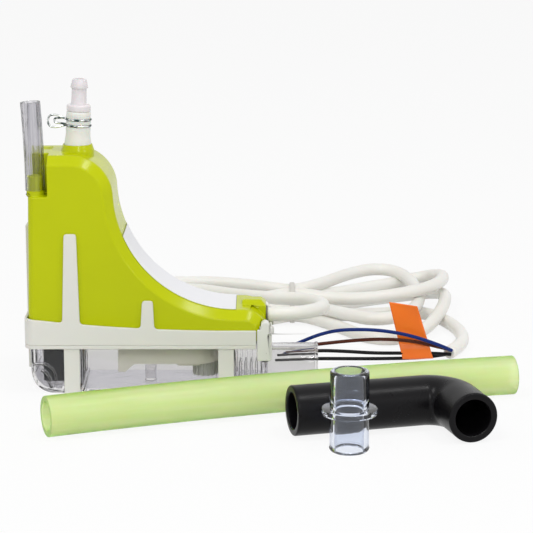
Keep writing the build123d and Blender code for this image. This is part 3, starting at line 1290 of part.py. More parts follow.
with BuildPart() as cable_tie:
    with BuildSketch(side_plane(TIE_X)):
        with Locations((TIE_Y, HANK_HEIGHT / 2 + TIE_T)):
            RectangleRounded(WAIST_WIDTH + 2 * TIE_T, HANK_HEIGHT + 2 * TIE_T, 3 * TIE_T)
            RectangleRounded(WAIST_WIDTH, HANK_HEIGHT, 2 * TIE_T, mode=Mode.SUBTRACT)
    extrude(amount=TIE_WIDTH / 2, both=True)

with BuildPart() as wire_blue:
    blue_line = cord_line(WIRE_BLUE)
    with BuildSketch(Plane(blue_line @ 0, z_dir=blue_line % 0)):
        Circle(WIRE_D / 2)
    sweep(path=blue_line)

with BuildPart() as wire_brown:
    brown_line = cord_line(WIRE_BROWN)
    with BuildSketch(Plane(brown_line @ 0, z_dir=brown_line % 0)):
        Circle(WIRE_D / 2)
    sweep(path=brown_line)

with BuildPart() as wire_black_a:
    black_a_line = cord_line(WIRE_BLACK_A)
    with BuildSketch(Plane(black_a_line @ 0, z_dir=black_a_line % 0)):
        Circle(WIRE_D / 2)
    sweep(path=black_a_line)

with BuildPart() as wire_black_b:
    black_b_line = cord_line(WIRE_BLACK_B)
    with BuildSketch(Plane(black_b_line @ 0, z_dir=black_b_line % 0)):
        Circle(WIRE_D / 2)
    sweep(path=black_b_line)

with BuildPart() as marker_flag:
    with BuildSketch(front_plane(MARKER_Y)):
        with BuildLine():
            Polyline(*MARKER, close=True)
        make_face()
    extrude(amount=MARKER_T / 2, both=True)

# ---------------------------------------------------------------- labels and files
PIECES = {
    "reservoir_tray": reservoir_tray, "cradle": cradle, "reservoir_clip": reservoir_clip,
    "float_block": float_block, "float_magnet": float_magnet, "housing_shell": housing_shell,
    "label_plate": label_plate, "vent_tube": vent_tube, "discharge_sleeve": discharge_sleeve,
    "discharge_barb": discharge_barb, "spring_clip": spring_clip, "cable_bush": cable_bush,
    "clip_pins": clip_pins, "base_plate": base_plate, "base_seal": base_seal,
    "inlet_strainer": inlet_strainer, "base_screws": base_screws, "yoke_frame": yoke_frame,
    "coil_bobbin": coil_bobbin, "coil_winding": coil_winding, "pump_barrel": pump_barrel,
    "plunger": plunger, "inlet_valve": inlet_valve, "outlet_valve": outlet_valve,
    "lower_mount": lower_mount, "upper_mount": upper_mount, "lower_spring": lower_spring,
    "upper_spring": upper_spring, "inlet_tube": inlet_tube, "control_board": control_board,
    "board_components": board_components, "board_screws": board_screws,
    "hall_sensor": hall_sensor, "thermal_cutout": thermal_cutout, "drain_hose": drain_hose,
    "rubber_elbow": rubber_elbow, "hose_connector": hose_connector, "cable_lead": cable_lead,
    "cable_coil": cable_coil, "cable_tail": cable_tail, "cable_tie": cable_tie,
    "wire_blue": wire_blue, "wire_brown": wire_brown, "wire_black_a": wire_black_a,
    "wire_black_b": wire_black_b, "marker_flag": marker_flag,
}
for name, piece in PIECES.items():
    piece.part.label = name
    export_step(piece.part, f"parts/{name}.step")

for name, route, line, diameter in (
    ("cable_lead", LEAD_ROUTE, lead_line, CABLE_D), ("cable_tail", TAIL_ROUTE, tail_line, CABLE_D),
    ("wire_blue", WIRE_BLUE, blue_line, WIRE_D), ("wire_brown", WIRE_BROWN, brown_line, WIRE_D),
    ("wire_black_a", WIRE_BLACK_A, black_a_line, WIRE_D),
    ("wire_black_b", WIRE_BLACK_B, black_b_line, WIRE_D),
):
    length = sum(edge.length for edge in line.edges())
    full = math.pi * diameter ** 2 / 4 * length
    print(name, "length", round(length, 1), "volume share",
          round(PIECES[name].part.volume / full, 3),
          "radii", [round(r, 1) for r in corner_radii(route)])
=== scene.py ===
# %% [markdown]
# # A condensate pump
# The pump lifts water out of an air conditioner's tray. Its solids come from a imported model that
# is already in place, in metres, with +X to the inlet spigot, +Y to the back and +Z up. This
# script gives the solids their finishes and replaces those that need a softer or more careful
# shape.

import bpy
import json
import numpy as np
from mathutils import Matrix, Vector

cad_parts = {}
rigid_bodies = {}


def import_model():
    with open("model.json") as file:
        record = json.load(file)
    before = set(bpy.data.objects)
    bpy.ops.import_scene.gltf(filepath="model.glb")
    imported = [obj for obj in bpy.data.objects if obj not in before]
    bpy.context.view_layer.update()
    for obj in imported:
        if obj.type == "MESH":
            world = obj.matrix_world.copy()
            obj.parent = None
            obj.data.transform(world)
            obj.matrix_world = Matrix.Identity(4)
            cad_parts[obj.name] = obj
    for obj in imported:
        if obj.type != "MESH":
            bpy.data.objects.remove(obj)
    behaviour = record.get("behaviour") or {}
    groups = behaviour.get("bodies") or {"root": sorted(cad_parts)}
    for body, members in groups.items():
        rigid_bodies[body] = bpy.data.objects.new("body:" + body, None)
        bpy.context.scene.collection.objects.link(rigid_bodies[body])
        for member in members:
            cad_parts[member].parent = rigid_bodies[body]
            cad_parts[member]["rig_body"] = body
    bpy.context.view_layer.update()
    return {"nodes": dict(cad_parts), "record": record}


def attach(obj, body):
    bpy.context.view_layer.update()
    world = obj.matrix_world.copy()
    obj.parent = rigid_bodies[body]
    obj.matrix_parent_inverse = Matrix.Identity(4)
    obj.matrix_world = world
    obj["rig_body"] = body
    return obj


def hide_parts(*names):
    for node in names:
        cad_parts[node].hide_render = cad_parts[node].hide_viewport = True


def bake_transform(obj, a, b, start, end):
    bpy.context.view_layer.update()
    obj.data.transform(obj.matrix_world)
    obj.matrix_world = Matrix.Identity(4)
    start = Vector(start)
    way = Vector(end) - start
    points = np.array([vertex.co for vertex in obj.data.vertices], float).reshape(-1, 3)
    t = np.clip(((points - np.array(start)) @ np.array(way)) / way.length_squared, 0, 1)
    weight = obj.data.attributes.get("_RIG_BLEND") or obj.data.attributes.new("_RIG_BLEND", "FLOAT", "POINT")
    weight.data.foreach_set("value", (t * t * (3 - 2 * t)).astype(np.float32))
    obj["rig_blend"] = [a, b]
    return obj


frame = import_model()
NODES = frame["nodes"]

# %% [markdown]
# ## The view and the light
# The camera has a long lens and stands a little above the table, which keeps the upright edges of
# the pump parallel. The light is a pale room and four soft panels: a large one above on the left,
# a small one above on the right that shows as a bright patch on the chamfers, one in front that
# reaches into the reservoir, and a weak one at the right. The backdrop is white only where a
# camera, mirror or glass ray meets it, so the room adds no more light than a plain studio would.

# %% Camera
import json
import math

import bmesh
import bpy
import numpy as np
from mathutils import Vector

CAMERA_PLACE = (0.053, -0.876, 0.2547)
CAMERA_TILT = 77.1
LENS = 135.1
VIEW_DEPTH = 20


def linked(name, data):
    """A new object for this data, in the scene."""
    thing = bpy.data.objects.new(name, data)
    bpy.context.scene.collection.objects.link(thing)
    return thing


camera = linked("camera", bpy.data.cameras.new("camera"))
camera.location = CAMERA_PLACE
camera.rotation_euler = (math.radians(CAMERA_TILT), 0, 0)
camera.data.lens = LENS
camera.data.clip_end = VIEW_DEPTH
bpy.context.scene.camera = camera
bpy.context.scene.view_settings.view_transform = "Standard"
print("camera", CAMERA_PLACE, "lens", LENS)

# %% [markdown]
# ## Writing materials as sums
# A procedural material is a formula. Wrapping one socket in a small class lets the formula be
# written with plus, minus and times, and each sign adds the Math node that does it.

# %% Shader formulas
class Signal:
    """A socket of a material's nodes. Signs between signals and numbers add Math nodes."""

    def __init__(self, socket):
        self.socket = socket

    def add(self, kind, settings, *places, output=0, **named):
        """Adds a node of this kind: its settings first, then its sockets by place and by name."""
        tree = self.socket.id_data
        node = tree.nodes.new("ShaderNode" + kind)
        for key, value in settings.items():
            if key == "stops":
                while len(node.color_ramp.elements) < len(value):
                    node.color_ramp.elements.new(1)
                for stop, (at, shade) in zip(node.color_ramp.elements, value):
                    stop.position, stop.color = at, (shade, shade, shade, 1)
            else:
                setattr(node, key, value)
        sockets = [(node.inputs[i], v) for i, v in enumerate(places) if v is not None]
        sockets += [(node.inputs[key.replace("_", " ")], v) for key, v in named.items()]
        for socket, value in sockets:
            if isinstance(value, Signal):
                tree.links.new(socket, value.socket)
            else:
                socket.default_value = value
        return Signal(node.outputs[output])

    def __add__(self, other):
        return self.add("Math", {"operation": "ADD"}, self, other)

    def __mul__(self, other):
        return self.add("Math", {"operation": "MULTIPLY"}, self, other)

    def __sub__(self, other):
        return self.add("Math", {"operation": "SUBTRACT"}, self, other)

    def __rsub__(self, other):
        return self.add("Math", {"operation": "SUBTRACT"}, other, self)

    __radd__, __rmul__ = __add__, __mul__

    def top(self, other):
        """The larger of the two."""
        return self.add("Math", {"operation": "MAXIMUM"}, self, other)

    def ramp(self, *stops):
        """This value sent through a ramp of (place, grey) stops."""
        return self.add("ValToRGB", {"stops": stops}, self)

    def between(self, first, second):
        """The colour that goes from first to second as this value goes from 0 to 1."""
        return self.add("Mix", {"data_type": "RGBA"}, self, *[None] * 5, first, second, output=2)

    def noise(self, scale, detail=2.0, rough=0.5):
        """Cloudy noise at this position, with scale features to the metre."""
        return self.add("TexNoise", {}, Vector=self, Scale=scale, Detail=detail, Roughness=rough)

    def bump(self, height):
        """A normal for a surface raised by this height in metres."""
        return self.add("Bump", {}, Height=height, Distance=1.0)


def srgb(red, green, blue):
    """A screen colour, each part 0 to 255, as the linear colour that a shader takes."""
    parts = [c / 255 for c in (red, green, blue)]
    return (*[c / 12.92 if c <= 0.04045 else ((c + 0.055) / 1.055) ** 2.4 for c in parts], 1.0)


def material(name, recipe, **constants):
    """A material: constants on the shader's own sockets, and recipe(position) for what varies."""
    made = bpy.data.materials.new(name)
    made.use_nodes = True
    shader = made.node_tree.nodes["Principled BSDF"]
    for key, value in constants.items():
        shader.inputs[key.replace("_", " ")].default_value = value
    position = Signal(made.node_tree.nodes.new("ShaderNodeTexCoord").outputs["Object"])
    for key, value in recipe(position).items():
        made.node_tree.links.new(shader.inputs[key], value.socket)
    return made


# %% Room, lamps and table
ROOM_LIGHT = 0.54
TABLE_GLOW = 0.88


def seen_directly(tree):
    """1 for camera, mirror and glass rays, and 0 for the rays that light things."""
    rays = tree.nodes.new("ShaderNodeLightPath").outputs
    seen = Signal(rays["Is Camera Ray"])
    return seen.top(Signal(rays["Is Glossy Ray"])).top(Signal(rays["Is Transmission Ray"]))


room = bpy.data.worlds.new("room")
bpy.context.scene.world = room
room.use_nodes = True
sky = room.node_tree.nodes["Background"]
sky.inputs["Color"].default_value = (1, 1, 1, 1)
strength = ROOM_LIGHT + seen_directly(room.node_tree) * (1 - ROOM_LIGHT)
room.node_tree.links.new(sky.inputs["Strength"], strength.socket)


def lamp(name, place, target, size, power):
    """A square soft panel at place, turned to shine on target."""
    panel = linked(name, bpy.data.lights.new(name, "AREA"))
    panel.data.size, panel.data.energy = size, power
    panel.location = place
    ray = np.subtract(target, place)
    panel.rotation_euler = (
        math.acos(-ray[2] / np.linalg.norm(ray)), 0, math.atan2(ray[1], ray[0]) - math.pi / 2,
    )


PUMP_MIDDLE = (0.02, 0.0, 0.05)
lamp("panel_above_left", (-0.45, -0.6, 1.3), PUMP_MIDDLE, 0.42, 5.2)
lamp("panel_above_right", (0.51, -0.29, 1.24), PUMP_MIDDLE, 0.22, 3.0)
lamp("panel_front", (0.22, -1.05, 0.66), PUMP_MIDDLE, 0.22, 2.2)
lamp("panel_right", (1.1, -0.8, 0.6), PUMP_MIDDLE, 0.3, 1.6)

table = bpy.data.materials.new("table_white")
table.use_nodes = True
table_tree = table.node_tree
cloth = table_tree.nodes["Principled BSDF"]
cloth.inputs["Base Color"].default_value = (0.86, 0.86, 0.86, 1)
cloth.inputs["Roughness"].default_value = 1.0
cloth.inputs["Specular IOR Level"].default_value = 0
glow = table_tree.nodes.new("ShaderNodeEmission")
mixer = table_tree.nodes.new("ShaderNodeMixShader")
table_tree.links.new(mixer.inputs[0], (seen_directly(table_tree) * TABLE_GLOW).socket)
table_tree.links.new(mixer.inputs[1], cloth.outputs[0])
table_tree.links.new(mixer.inputs[2], glow.outputs[0])
table_tree.links.new(table_tree.nodes["Material Output"].inputs[0], mixer.outputs[0])

TABLE_HALF, TABLE_FRONT, TABLE_BACK, TABLE_TOP = 5.0, -1, 9, -0.0002
TABLE_CORNERS = (
    (-TABLE_HALF, TABLE_FRONT), (TABLE_HALF, TABLE_FRONT), (TABLE_HALF, TABLE_BACK),
    (-TABLE_HALF, TABLE_BACK),
)
table_mesh = bpy.data.meshes.new("table_top")
table_mesh.from_pydata([(x, y, TABLE_TOP) for x, y in TABLE_CORNERS], [], [(0, 1, 2, 3)])
table_mesh.materials.append(table)
linked("table_top", table_mesh)
print("room", ROOM_LIGHT, "table glow", TABLE_GLOW)

# %% [markdown]
# ## Shapes as sheets of points
# Every new piece is a grid of points worked out with arrays. The most useful grid is a profile
# carried along a path: a hose, a wire, a barb and a ring differ only in the two.

# %% Grids and carried profiles
CREASE = math.radians(40)


def sheet_piece(name, grid, around=True, closed=True, finish=None):
    """A mesh from a grid of points (rows, columns, 3). around joins the last row to the first, and
    closed joins the last column to the first. Points that meet, as at a pole, are merged, and the
    faces are turned outwards."""
    rows, columns = grid.shape[:2]
    i = np.arange(rows if around else rows - 1)[:, None]
    j = np.arange(columns if closed else columns - 1)[None, :]
    up, right = (i + 1) % rows, (j + 1) % columns
    faces = np.stack(
        [i * columns + j, up * columns + j, up * columns + right, i * columns + right], axis=-1
    )
    mesh = bpy.data.meshes.new(name)
    mesh.from_pydata(grid.reshape(-1, 3).tolist(), [], faces.reshape(-1, 4).tolist())
    work = bmesh.new()
    work.from_mesh(mesh)
    bmesh.ops.remove_doubles(work, verts=work.verts, dist=1e-6)
    bmesh.ops.recalc_face_normals(work, faces=work.faces)
    work.to_mesh(mesh)
    work.free()
    mesh.shade_smooth()
    mesh.set_sharp_from_angle(angle=CREASE)
    if finish:
        mesh.materials.append(finish)
    return linked(name, mesh)


def along(path, lean=(0.0, 0.0, 1.0)):
    """Distances along a path of points, with its side and rise directions at each: side is square
    to the path and to lean, and rise is square to both."""
    step = np.gradient(path, axis=0)
    forward = step / np.linalg.norm(step, axis=1, keepdims=True)
    side = np.cross(np.broadcast_to(lean, forward.shape), forward)
    side /= np.linalg.norm(side, axis=1, keepdims=True)
    run = np.concatenate([[0], np.cumsum(np.linalg.norm(np.diff(path, axis=0), axis=1))])
    return run, side, np.cross(forward, side)


def carried(name, path, profile, sides, finish, lean=(0.0, 0.0, 1.0), closed=True):
    """A profile of (distance along the path, radius) pairs spun round the path: each point is the
    path's point there, plus radius times the side and rise directions turned by the angle."""
    path = np.asarray(path, float)
    run, side, rise = along(path, lean)
    s, r = np.asarray(profile, float).T

    def at(values):
        """These values, known at the path's points, at the profile's distances."""
        return np.stack([np.interp(s, run, values[:, k]) for k in range(3)], axis=-1)

    turn = np.linspace(0, 2 * math.pi, sides, endpoint=False)[:, None, None]
    spoke = np.cos(turn) * at(side) + np.sin(turn) * at(rise)
    return sheet_piece(name, at(path) + r[:, None] * spoke, True, closed, finish=finish)


def arc(centre, radius, first, last, count):
    """Points on an arc in a profile, from the first angle to the last, in degrees."""
    turn = np.radians(np.linspace(first, last, count))
    return [
        (centre[0] + radius * c, centre[1] + radius * s) for c, s in zip(np.cos(turn), np.sin(turn))
    ]


def smooth_line(name, route, step=0.002):
    """Points along the NURBS line that a route's points pull, about step apart. The order and the
    end points are set once the points are in, because set before, they leave it straight."""
    curve = bpy.data.curves.new(name, "CURVE")
    curve.dimensions = "3D"
    line = curve.splines.new("NURBS")
    line.points.add(len(route) - 1)
    route = np.asarray(route, float)
    line.points.foreach_set("co", np.column_stack([route, np.ones(len(route))]).ravel())
    line.order_u = 3
    line.use_endpoint_u = True
    longest = np.linalg.norm(np.diff(route, axis=0), axis=1).mean()
    curve.resolution_u = max(4, round(longest / step))
    carrier = bpy.data.objects.new(name, curve)
    mesh = bpy.data.meshes.new_from_object(carrier)
    points = np.empty(3 * len(mesh.vertices), np.float32)
    mesh.vertices.foreach_get("co", points)
    bpy.data.objects.remove(carrier)
    bpy.data.curves.remove(curve)
    bpy.data.meshes.remove(mesh)
    return points.reshape(-1, 3).astype(float)


def solid_cord(name, path, diameter, sides, finish, taper=0.12):
    """A round cord along a path, with slightly rounded ends."""
    length = along(path)[0][-1]
    radius, ease = diameter / 2, diameter * taper
    inner = along(path)[0][1:-1]
    middle = inner[(inner > ease) & (inner < length - ease)]
    profile = [(0, 0), (0, radius - ease), (ease, radius)]
    profile += [(s, radius) for s in middle]
    profile += [(length - ease, radius), (length, radius - ease), (length, 0)]
    return carried(name, path, profile, sides, finish, closed=False), length


print("helpers ready")

# %% [markdown]
# ## The mains lead
# The lead is a round white three-core cable. It leaves the head through a rubber bush, bends back
# behind the head, is folded three times into a loose hank that a tie holds at its waist, and ends
# where its sheath is stripped and the four wires come out. One spline carries all of it, so that
# the cable keeps one length: the turns of the hank are more points of the same line. Each turn is
# larger or smaller than the last, because nothing holds them away from the tie.

# %% Vinyl sheath and wire insulation
def sheath_recipe(position):
    """A faintly mottled white: slow blotches in the colour, and fine drag lines in the gloss."""
    cloudy = position.noise(38.0, 3.0).ramp((0.3, 0), (0.7, 1))
    fine = position.noise(900.0)
    return {
        "Base Color": cloudy.between(srgb(233, 231, 224), srgb(240, 239, 234)),
        "Roughness": 0.30 + fine * 0.12,
        "Normal": position.bump(fine * 0.00003 + position.noise(150.0) * 0.00006),
    }


sheath = material("lead_sheath", sheath_recipe, Subsurface_Weight=0.06, Subsurface_Scale=0.002)


def insulation(name, colour, deep):
    """Wire insulation: one colour that deepens in slow patches, with a drawn gloss."""
    def recipe(position):
        fine = position.noise(1400.0)
        return {
            "Base Color": position.noise(90.0).between(colour, deep),
            "Roughness": 0.24 + fine * 0.16,
            "Normal": position.bump(fine * 0.00002),
        }
    return material(name, recipe, Specular_IOR_Level=0.15)


blue_skin = insulation("wire_blue_skin", srgb(18, 48, 124), srgb(10, 34, 100))
brown_skin = insulation("wire_brown_skin", srgb(92, 42, 24), srgb(70, 30, 18))
black_skin = insulation("wire_black_skin", srgb(20, 19, 21), srgb(12, 11, 13))

# %% Route of the lead
MM = 0.001
LEAD_ROUTE = (
    (52.8, 0, 31.9), (62, 0.6, 31.9), (71, 5.5, 31.6), (77, 15, 30.5), (80, 29, 28.5),
    (77.5, 43, 27), (69.5, 53, 26), (57.5, 58, 25.2), (45, 65, 24.3), (32, 78, 22.6),
    (18, 92, 21.3),
)
FIRST_LEFT = (
    (0, 95, 20), (-13, 104, 18.5), (-13, 117, 17), (0, 127, 16.3), (22, 129, 16.4), (44, 122, 16.4),
    (58, 115.5, 16), (66, 113.2, 15.7),
)
FIRST_RIGHT = (
    (73, 113.5, 16.9), (83, 127, 16.5), (96.5, 150, 16), (111, 163, 15.8), (124, 158, 15),
    (131, 140, 11.5), (131.5, 118, 9.8), (127, 97, 9.8), (118, 81, 9.8), (105, 76, 9.8),
    (94, 86, 9.8), (83, 97, 9.6), (74, 102.4, 9.8), (66, 103.6, 10.1),
)
SECOND_LEFT = (
    (54, 100, 10), (36, 93, 9.9), (14, 90, 10), (-7, 94, 10), (-19, 105, 10), (-18, 119, 10),
    (-4, 129.5, 10), (20, 131, 10), (44, 124.5, 10), (58, 118.5, 10), (66, 116.4, 10.1),
)
SECOND_RIGHT = (
    (73, 118.6, 11.2), (88, 128, 10.5), (105, 143, 10), (122, 158, 9), (137, 163, 11.5),
    (146, 150, 15.5), (144, 131, 16.3), (134, 114, 16.3), (118, 104, 15.5), (100, 100.5, 14.2),
    (84, 102, 14.4), (74, 105.4, 15.2), (66, 106.8, 15.7),
)
THIRD_LEFT = (
    (54, 105, 14.5), (38, 100.5, 10.5), (20, 97.5, 6.5), (6, 93.5, 3.6), (-9, 97, 3.4),
    (-18, 109, 3.4), (-12, 121, 3.4), (4, 127.5, 3.4), (26, 126, 3.5), (46, 118.5, 5.5),
    (58, 112.5, 8.5), (66, 110, 10.1),
)
THIRD_RIGHT = (
    (73, 112, 10.3), (79, 115.2, 9.4), (86, 122, 5.4), (92, 129.5, 4), (103, 141, 3.4),
    (122, 151, 3.4), (138, 150, 5.5), (145.5, 135, 9), (144.5, 116, 9.8), (139.5, 95, 8),
    (131, 76, 4.5), (116, 62, 3.4), (101, 67, 3.4), (91, 84, 3.4), (82, 96, 3.6),
    (74, 104.6, 3.9), (66, 106.8, 4.6),
)
LAST_LEFT = (
    (56, 102, 3.8), (40, 93.5, 3.4), (20, 87, 3.4), (-4, 86, 3.4), (-22, 93, 3.4), (-29, 108, 3.4),
    (-22, 124, 3.4), (-4, 134, 3.4), (22, 135.5, 3.4), (44, 127, 3.4), (58, 118, 3.8),
    (66, 113.2, 4.6),
)
TAIL_ROUTE = (
    (73, 113, 3.8), (82, 112, 3.4), (96, 111, 3.4), (112, 113.5, 3.4), (127, 117, 3.4),
    (137, 112, 3.4), (142.6, 100, 3.4), (147.4, 85, 3.4), (149, 68, 3.4), (146.4, 52, 3.4),
    (139.6, 38.5, 3.4),
)
CABLE_THICK = 6.4 * MM
lead_route = MM * np.concatenate([
    LEAD_ROUTE, FIRST_LEFT, FIRST_RIGHT, SECOND_LEFT, SECOND_RIGHT, THIRD_LEFT, THIRD_RIGHT,
    LAST_LEFT, TAIL_ROUTE,
])
lead_path = smooth_line("lead_line", lead_route)
mains_lead, lead_length = solid_cord("mains_lead", lead_path, CABLE_THICK, 20, sheath)
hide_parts("cable_lead", "cable_coil", "cable_tail")
print("mains lead", round(lead_length, 3), "m in", len(lead_path), "stations")

# %% [markdown]
# The hank lies on the table while the head is lifted off the reservoir, so only the first bend of
# the lead may follow the head. A blend does that: its weight grows from the far side of the bend
# to the bush.

# %% Let the lead give
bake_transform(mains_lead, "root", "pump_head", start=(0.0773, 0.0390, 0.027), end=(0.0580, 0.0084, 0.032))

# %% [markdown]
# ## The four wires
# Blue, brown and two black wires lie in a loose fan in front of the hank and reach back towards
# the inlet. They are limp, so each is a thin cord with its own slow curve.

# %% Wires
WIRE_THICK = 1.7 * MM
WIRE_ROUTES = {
    "wire_blue": ((140.7, 37.4, 4.7), (134.5, 33.2, 8.6), (120, 31.4, 13.9), (107, 30.6, 16.4),
                  (95, 29.4, 17.2), (84, 28.6, 16.8), (72, 28.4, 13), (61, 28.8, 7.4)),
    "wire_brown": ((139.0, 38.2, 5.2), (133.6, 35.2, 7.2), (122, 33.9, 10.4), (107, 33.2, 11.6),
                   (92, 31.2, 11.2), (77, 28, 10.4), (62, 25.6, 9.2)),
    "wire_black_a": ((140.4, 37.5, 2.8), (131, 36.0, 3.9), (117, 35.8, 3.9), (103, 32.6, 4.8),
                     (89, 28, 7), (75, 24.4, 8.4), (58, 22, 7.6)),
    "wire_black_b": ((138.0, 38.9, 2.4), (128, 36.8, 1.4), (115, 35.8, 1.3), (101, 32, 2.2),
                     (87, 27.2, 3.6), (73, 23, 4.8), (57, 19.9, 4.8)),
}
WIRE_SKINS = {"wire_blue": blue_skin, "wire_brown": brown_skin}
for node, route in WIRE_ROUTES.items():
    route = np.array(route) * MM
    path = smooth_line(node, route, 0.0015)
    wire, length = solid_cord(
        node + "_core", path, WIRE_THICK, 12, WIRE_SKINS.get(node, black_skin)
    )
    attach(wire, "root")
    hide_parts(node)
    print(node, round(length, 4), "m")

# %% [markdown]
# ## Moulded plastics
# Injection moulded plastic is never quite even: the mould's fine spark texture breaks up the
# gloss, and the colour drifts a little where the melt cooled last. Both are built from noise in
# the piece's own coordinates, at the size of the real texture.

# %% Opaque plastics and rubbers
GRAIN = 2600.0


def moulded(name, colour, drift, gloss, grain_height, orange_peel=0.0, **constants):
    """A moulded surface: colour drifting to a second colour, gloss broken by grain, and a bump
    made of the grain plus the slow waves called orange peel."""
    def recipe(position):
        grain = position.noise(GRAIN, 1.0)
        patches = position.noise(22.0, 3.0, 0.6).ramp((0.32, 0), (0.68, 1))
        return {
            "Base Color": patches.between(colour, drift),
            "Roughness": gloss + (grain - 0.5) * 0.18,
            "Normal": position.bump(grain * grain_height + position.noise(160.0) * orange_peel),
        }
    return material(name, recipe, **constants)


green_shell = moulded(
    "green_shell", srgb(186, 195, 0), srgb(190, 199, 0), 0.20, 0.000008, 0.00002,
    Specular_IOR_Level=0.17,
)
white_clip = moulded(
    "white_clip", srgb(232, 232, 228), srgb(226, 226, 221), 0.36, 0.000012, 0.00003
)
cream_plate = moulded("cream_plate", srgb(246, 243, 232), srgb(240, 237, 225), 0.42, 0.000015)
grey_plate = moulded("grey_plate", srgb(205, 206, 199), srgb(190, 192, 186), 0.5, 0.000015)
label_face = moulded("label_face", srgb(236, 236, 240), srgb(232, 232, 237), 0.38, 0.00001)
acetal = moulded(
    "acetal", srgb(228, 223, 225), srgb(221, 216, 219), 0.28, 0.000006,
    Subsurface_Weight=0.08, Subsurface_Scale=0.002,
)
nylon = moulded("tie_nylon", srgb(214, 211, 205), srgb(203, 200, 193), 0.4, 0.00001)
black_nylon = moulded("black_nylon", srgb(46, 46, 47), srgb(38, 38, 40), 0.5, 0.000015)
circuit_green = moulded("circuit_green", srgb(38, 92, 52), srgb(30, 80, 44), 0.35, 0.000008)
case_black = moulded("case_black", srgb(34, 34, 36), srgb(44, 44, 46), 0.45, 0.00001)
ferrite = moulded("ferrite", srgb(96, 96, 98), srgb(78, 78, 80), 0.6, 0.00002)


def rubber_recipe(colour, dust, gloss, tooth):
    """Rubber: a matt skin whose gloss comes and goes, with fine dust caught in its tooth."""
    def recipe(position):
        fine = position.noise(1800.0, 3.0, 0.7)
        rubbed = position.noise(60.0, 4.0, 0.6).ramp((0.35, 0), (0.7, 1))
        return {
            "Base Color": (fine.ramp((0.55, 0), (0.85, 1)) * 0.5).between(colour, dust),
            "Roughness": gloss + rubbed * 0.14,
            "Normal": position.bump(fine * tooth),
        }
    return recipe


cradle_rubber = material(
    "cradle_rubber", rubber_recipe(srgb(224, 223, 217), srgb(231, 230, 225), 0.42, 0.00001),
    Subsurface_Weight=0.05, Subsurface_Scale=0.002,
)
black_rubber = material(
    "black_rubber", rubber_recipe(srgb(14, 13, 15), srgb(28, 27, 30), 0.26, 0.00002),
    Specular_IOR_Level=0.14,
)
seal_rubber = material(
    "seal_rubber", rubber_recipe(srgb(150, 150, 148), srgb(170, 170, 168), 0.7, 0.00004)
)
silicone = material(
    "silicone", rubber_recipe(srgb(230, 229, 223), srgb(236, 236, 231), 0.34, 0.000008),
    Subsurface_Weight=0.25, Subsurface_Scale=0.003,
)


def foam_recipe(position):
    """Closed-cell foam: small cells, with painted shade in the grooves where they meet."""
    cells = position.add(
        "TexVoronoi", {"feature": "DISTANCE_TO_EDGE"}, Vector=position, Scale=1500.0
    )
    return {
        # Painted shade: the colour darkens towards the grooves where the cells meet.
        "Base Color": (cells * 2).between(srgb(14, 15, 20), srgb(38, 40, 50)),
        "Roughness": 0.75 + position.noise(300.0) * 0.15,
        "Normal": position.bump(cells * 0.0002),
    }


foam = material("float_foam", foam_recipe)


# %% Metals
def metal(name, colour, shade, gloss, lines):
    """A drawn metal: fine lines round the Z axis stretch the gloss, patches shift the colour."""
    def recipe(position):
        squeezed = position.add(
            "VectorMath", {"operation": "MULTIPLY"}, position, (60, 60, 2400), output=0
        )
        streaks = squeezed.noise(1.0, 2.0)
        return {
            "Base Color": position.noise(120.0).between(colour, shade),
            "Roughness": gloss + streaks * 0.16,
            "Normal": position.bump(streaks * lines),
        }
    return material(name, recipe, Metallic=1.0)




def chrome_recipe(position):
    """Bright plated wire with a painted reflection: a pale core between dark flanks in the base
    colour stands for a room's light and dark walls, broken along the wire where it bends."""
    painted_dark_flank = position.add("LayerWeight", {}, Blend=0.5, output=1).ramp((0.28, 0), (0.55, 1))
    broken = position.noise(420.0, 1.0).ramp((0.5, 0), (0.62, 1))
    return {
        # Painted reflection: a pale core and dark flanks in the base colour, for the room's light and dark
        # walls.
        "Base Color": painted_dark_flank.top(broken).between(srgb(236, 240, 238), srgb(46, 60, 60)),
        "Roughness": 0.05 + broken * 0.05,
    }


spring_wire = material("spring_wire", chrome_recipe, Metallic=1.0)
ground_steel = metal("ground_steel", srgb(186, 186, 186), srgb(168, 168, 170), 0.22, 0.00001)
zinc_plate = metal("zinc_plate", srgb(190, 192, 192), srgb(170, 174, 176), 0.32, 0.00001)
turned_brass = metal("turned_brass", srgb(206, 176, 106), srgb(188, 156, 88), 0.2, 0.00001)


def winding_recipe(position):
    """Turns of varnished wire: a ridge for each turn along Z, with painted shade in the grooves."""
    turns = position.add(
        "TexWave", {"bands_direction": "Z", "wave_profile": "SIN"}, Vector=position, Scale=400.0,
        Distortion=0.4,
    )
    return {
        # Painted shade: the colour darkens in the grooves between the turns.
        "Base Color": turns.between(srgb(96, 44, 24), srgb(196, 112, 66)),
        "Roughness": 0.42 - turns * 0.16,
        "Normal": position.bump(turns * 0.00012),
    }


copper_winding = material("copper_winding", winding_recipe, Coat_Weight=0.5, Coat_Roughness=0.15)

# %% [markdown]
# ## Clear pieces
# The reservoir, the connector and the vent tube are clear. Glass shading with a slight cool tint
# does this: each wall that light crosses tints it a little more. The grey of walls seen edge on is
# painted shade in their colour.

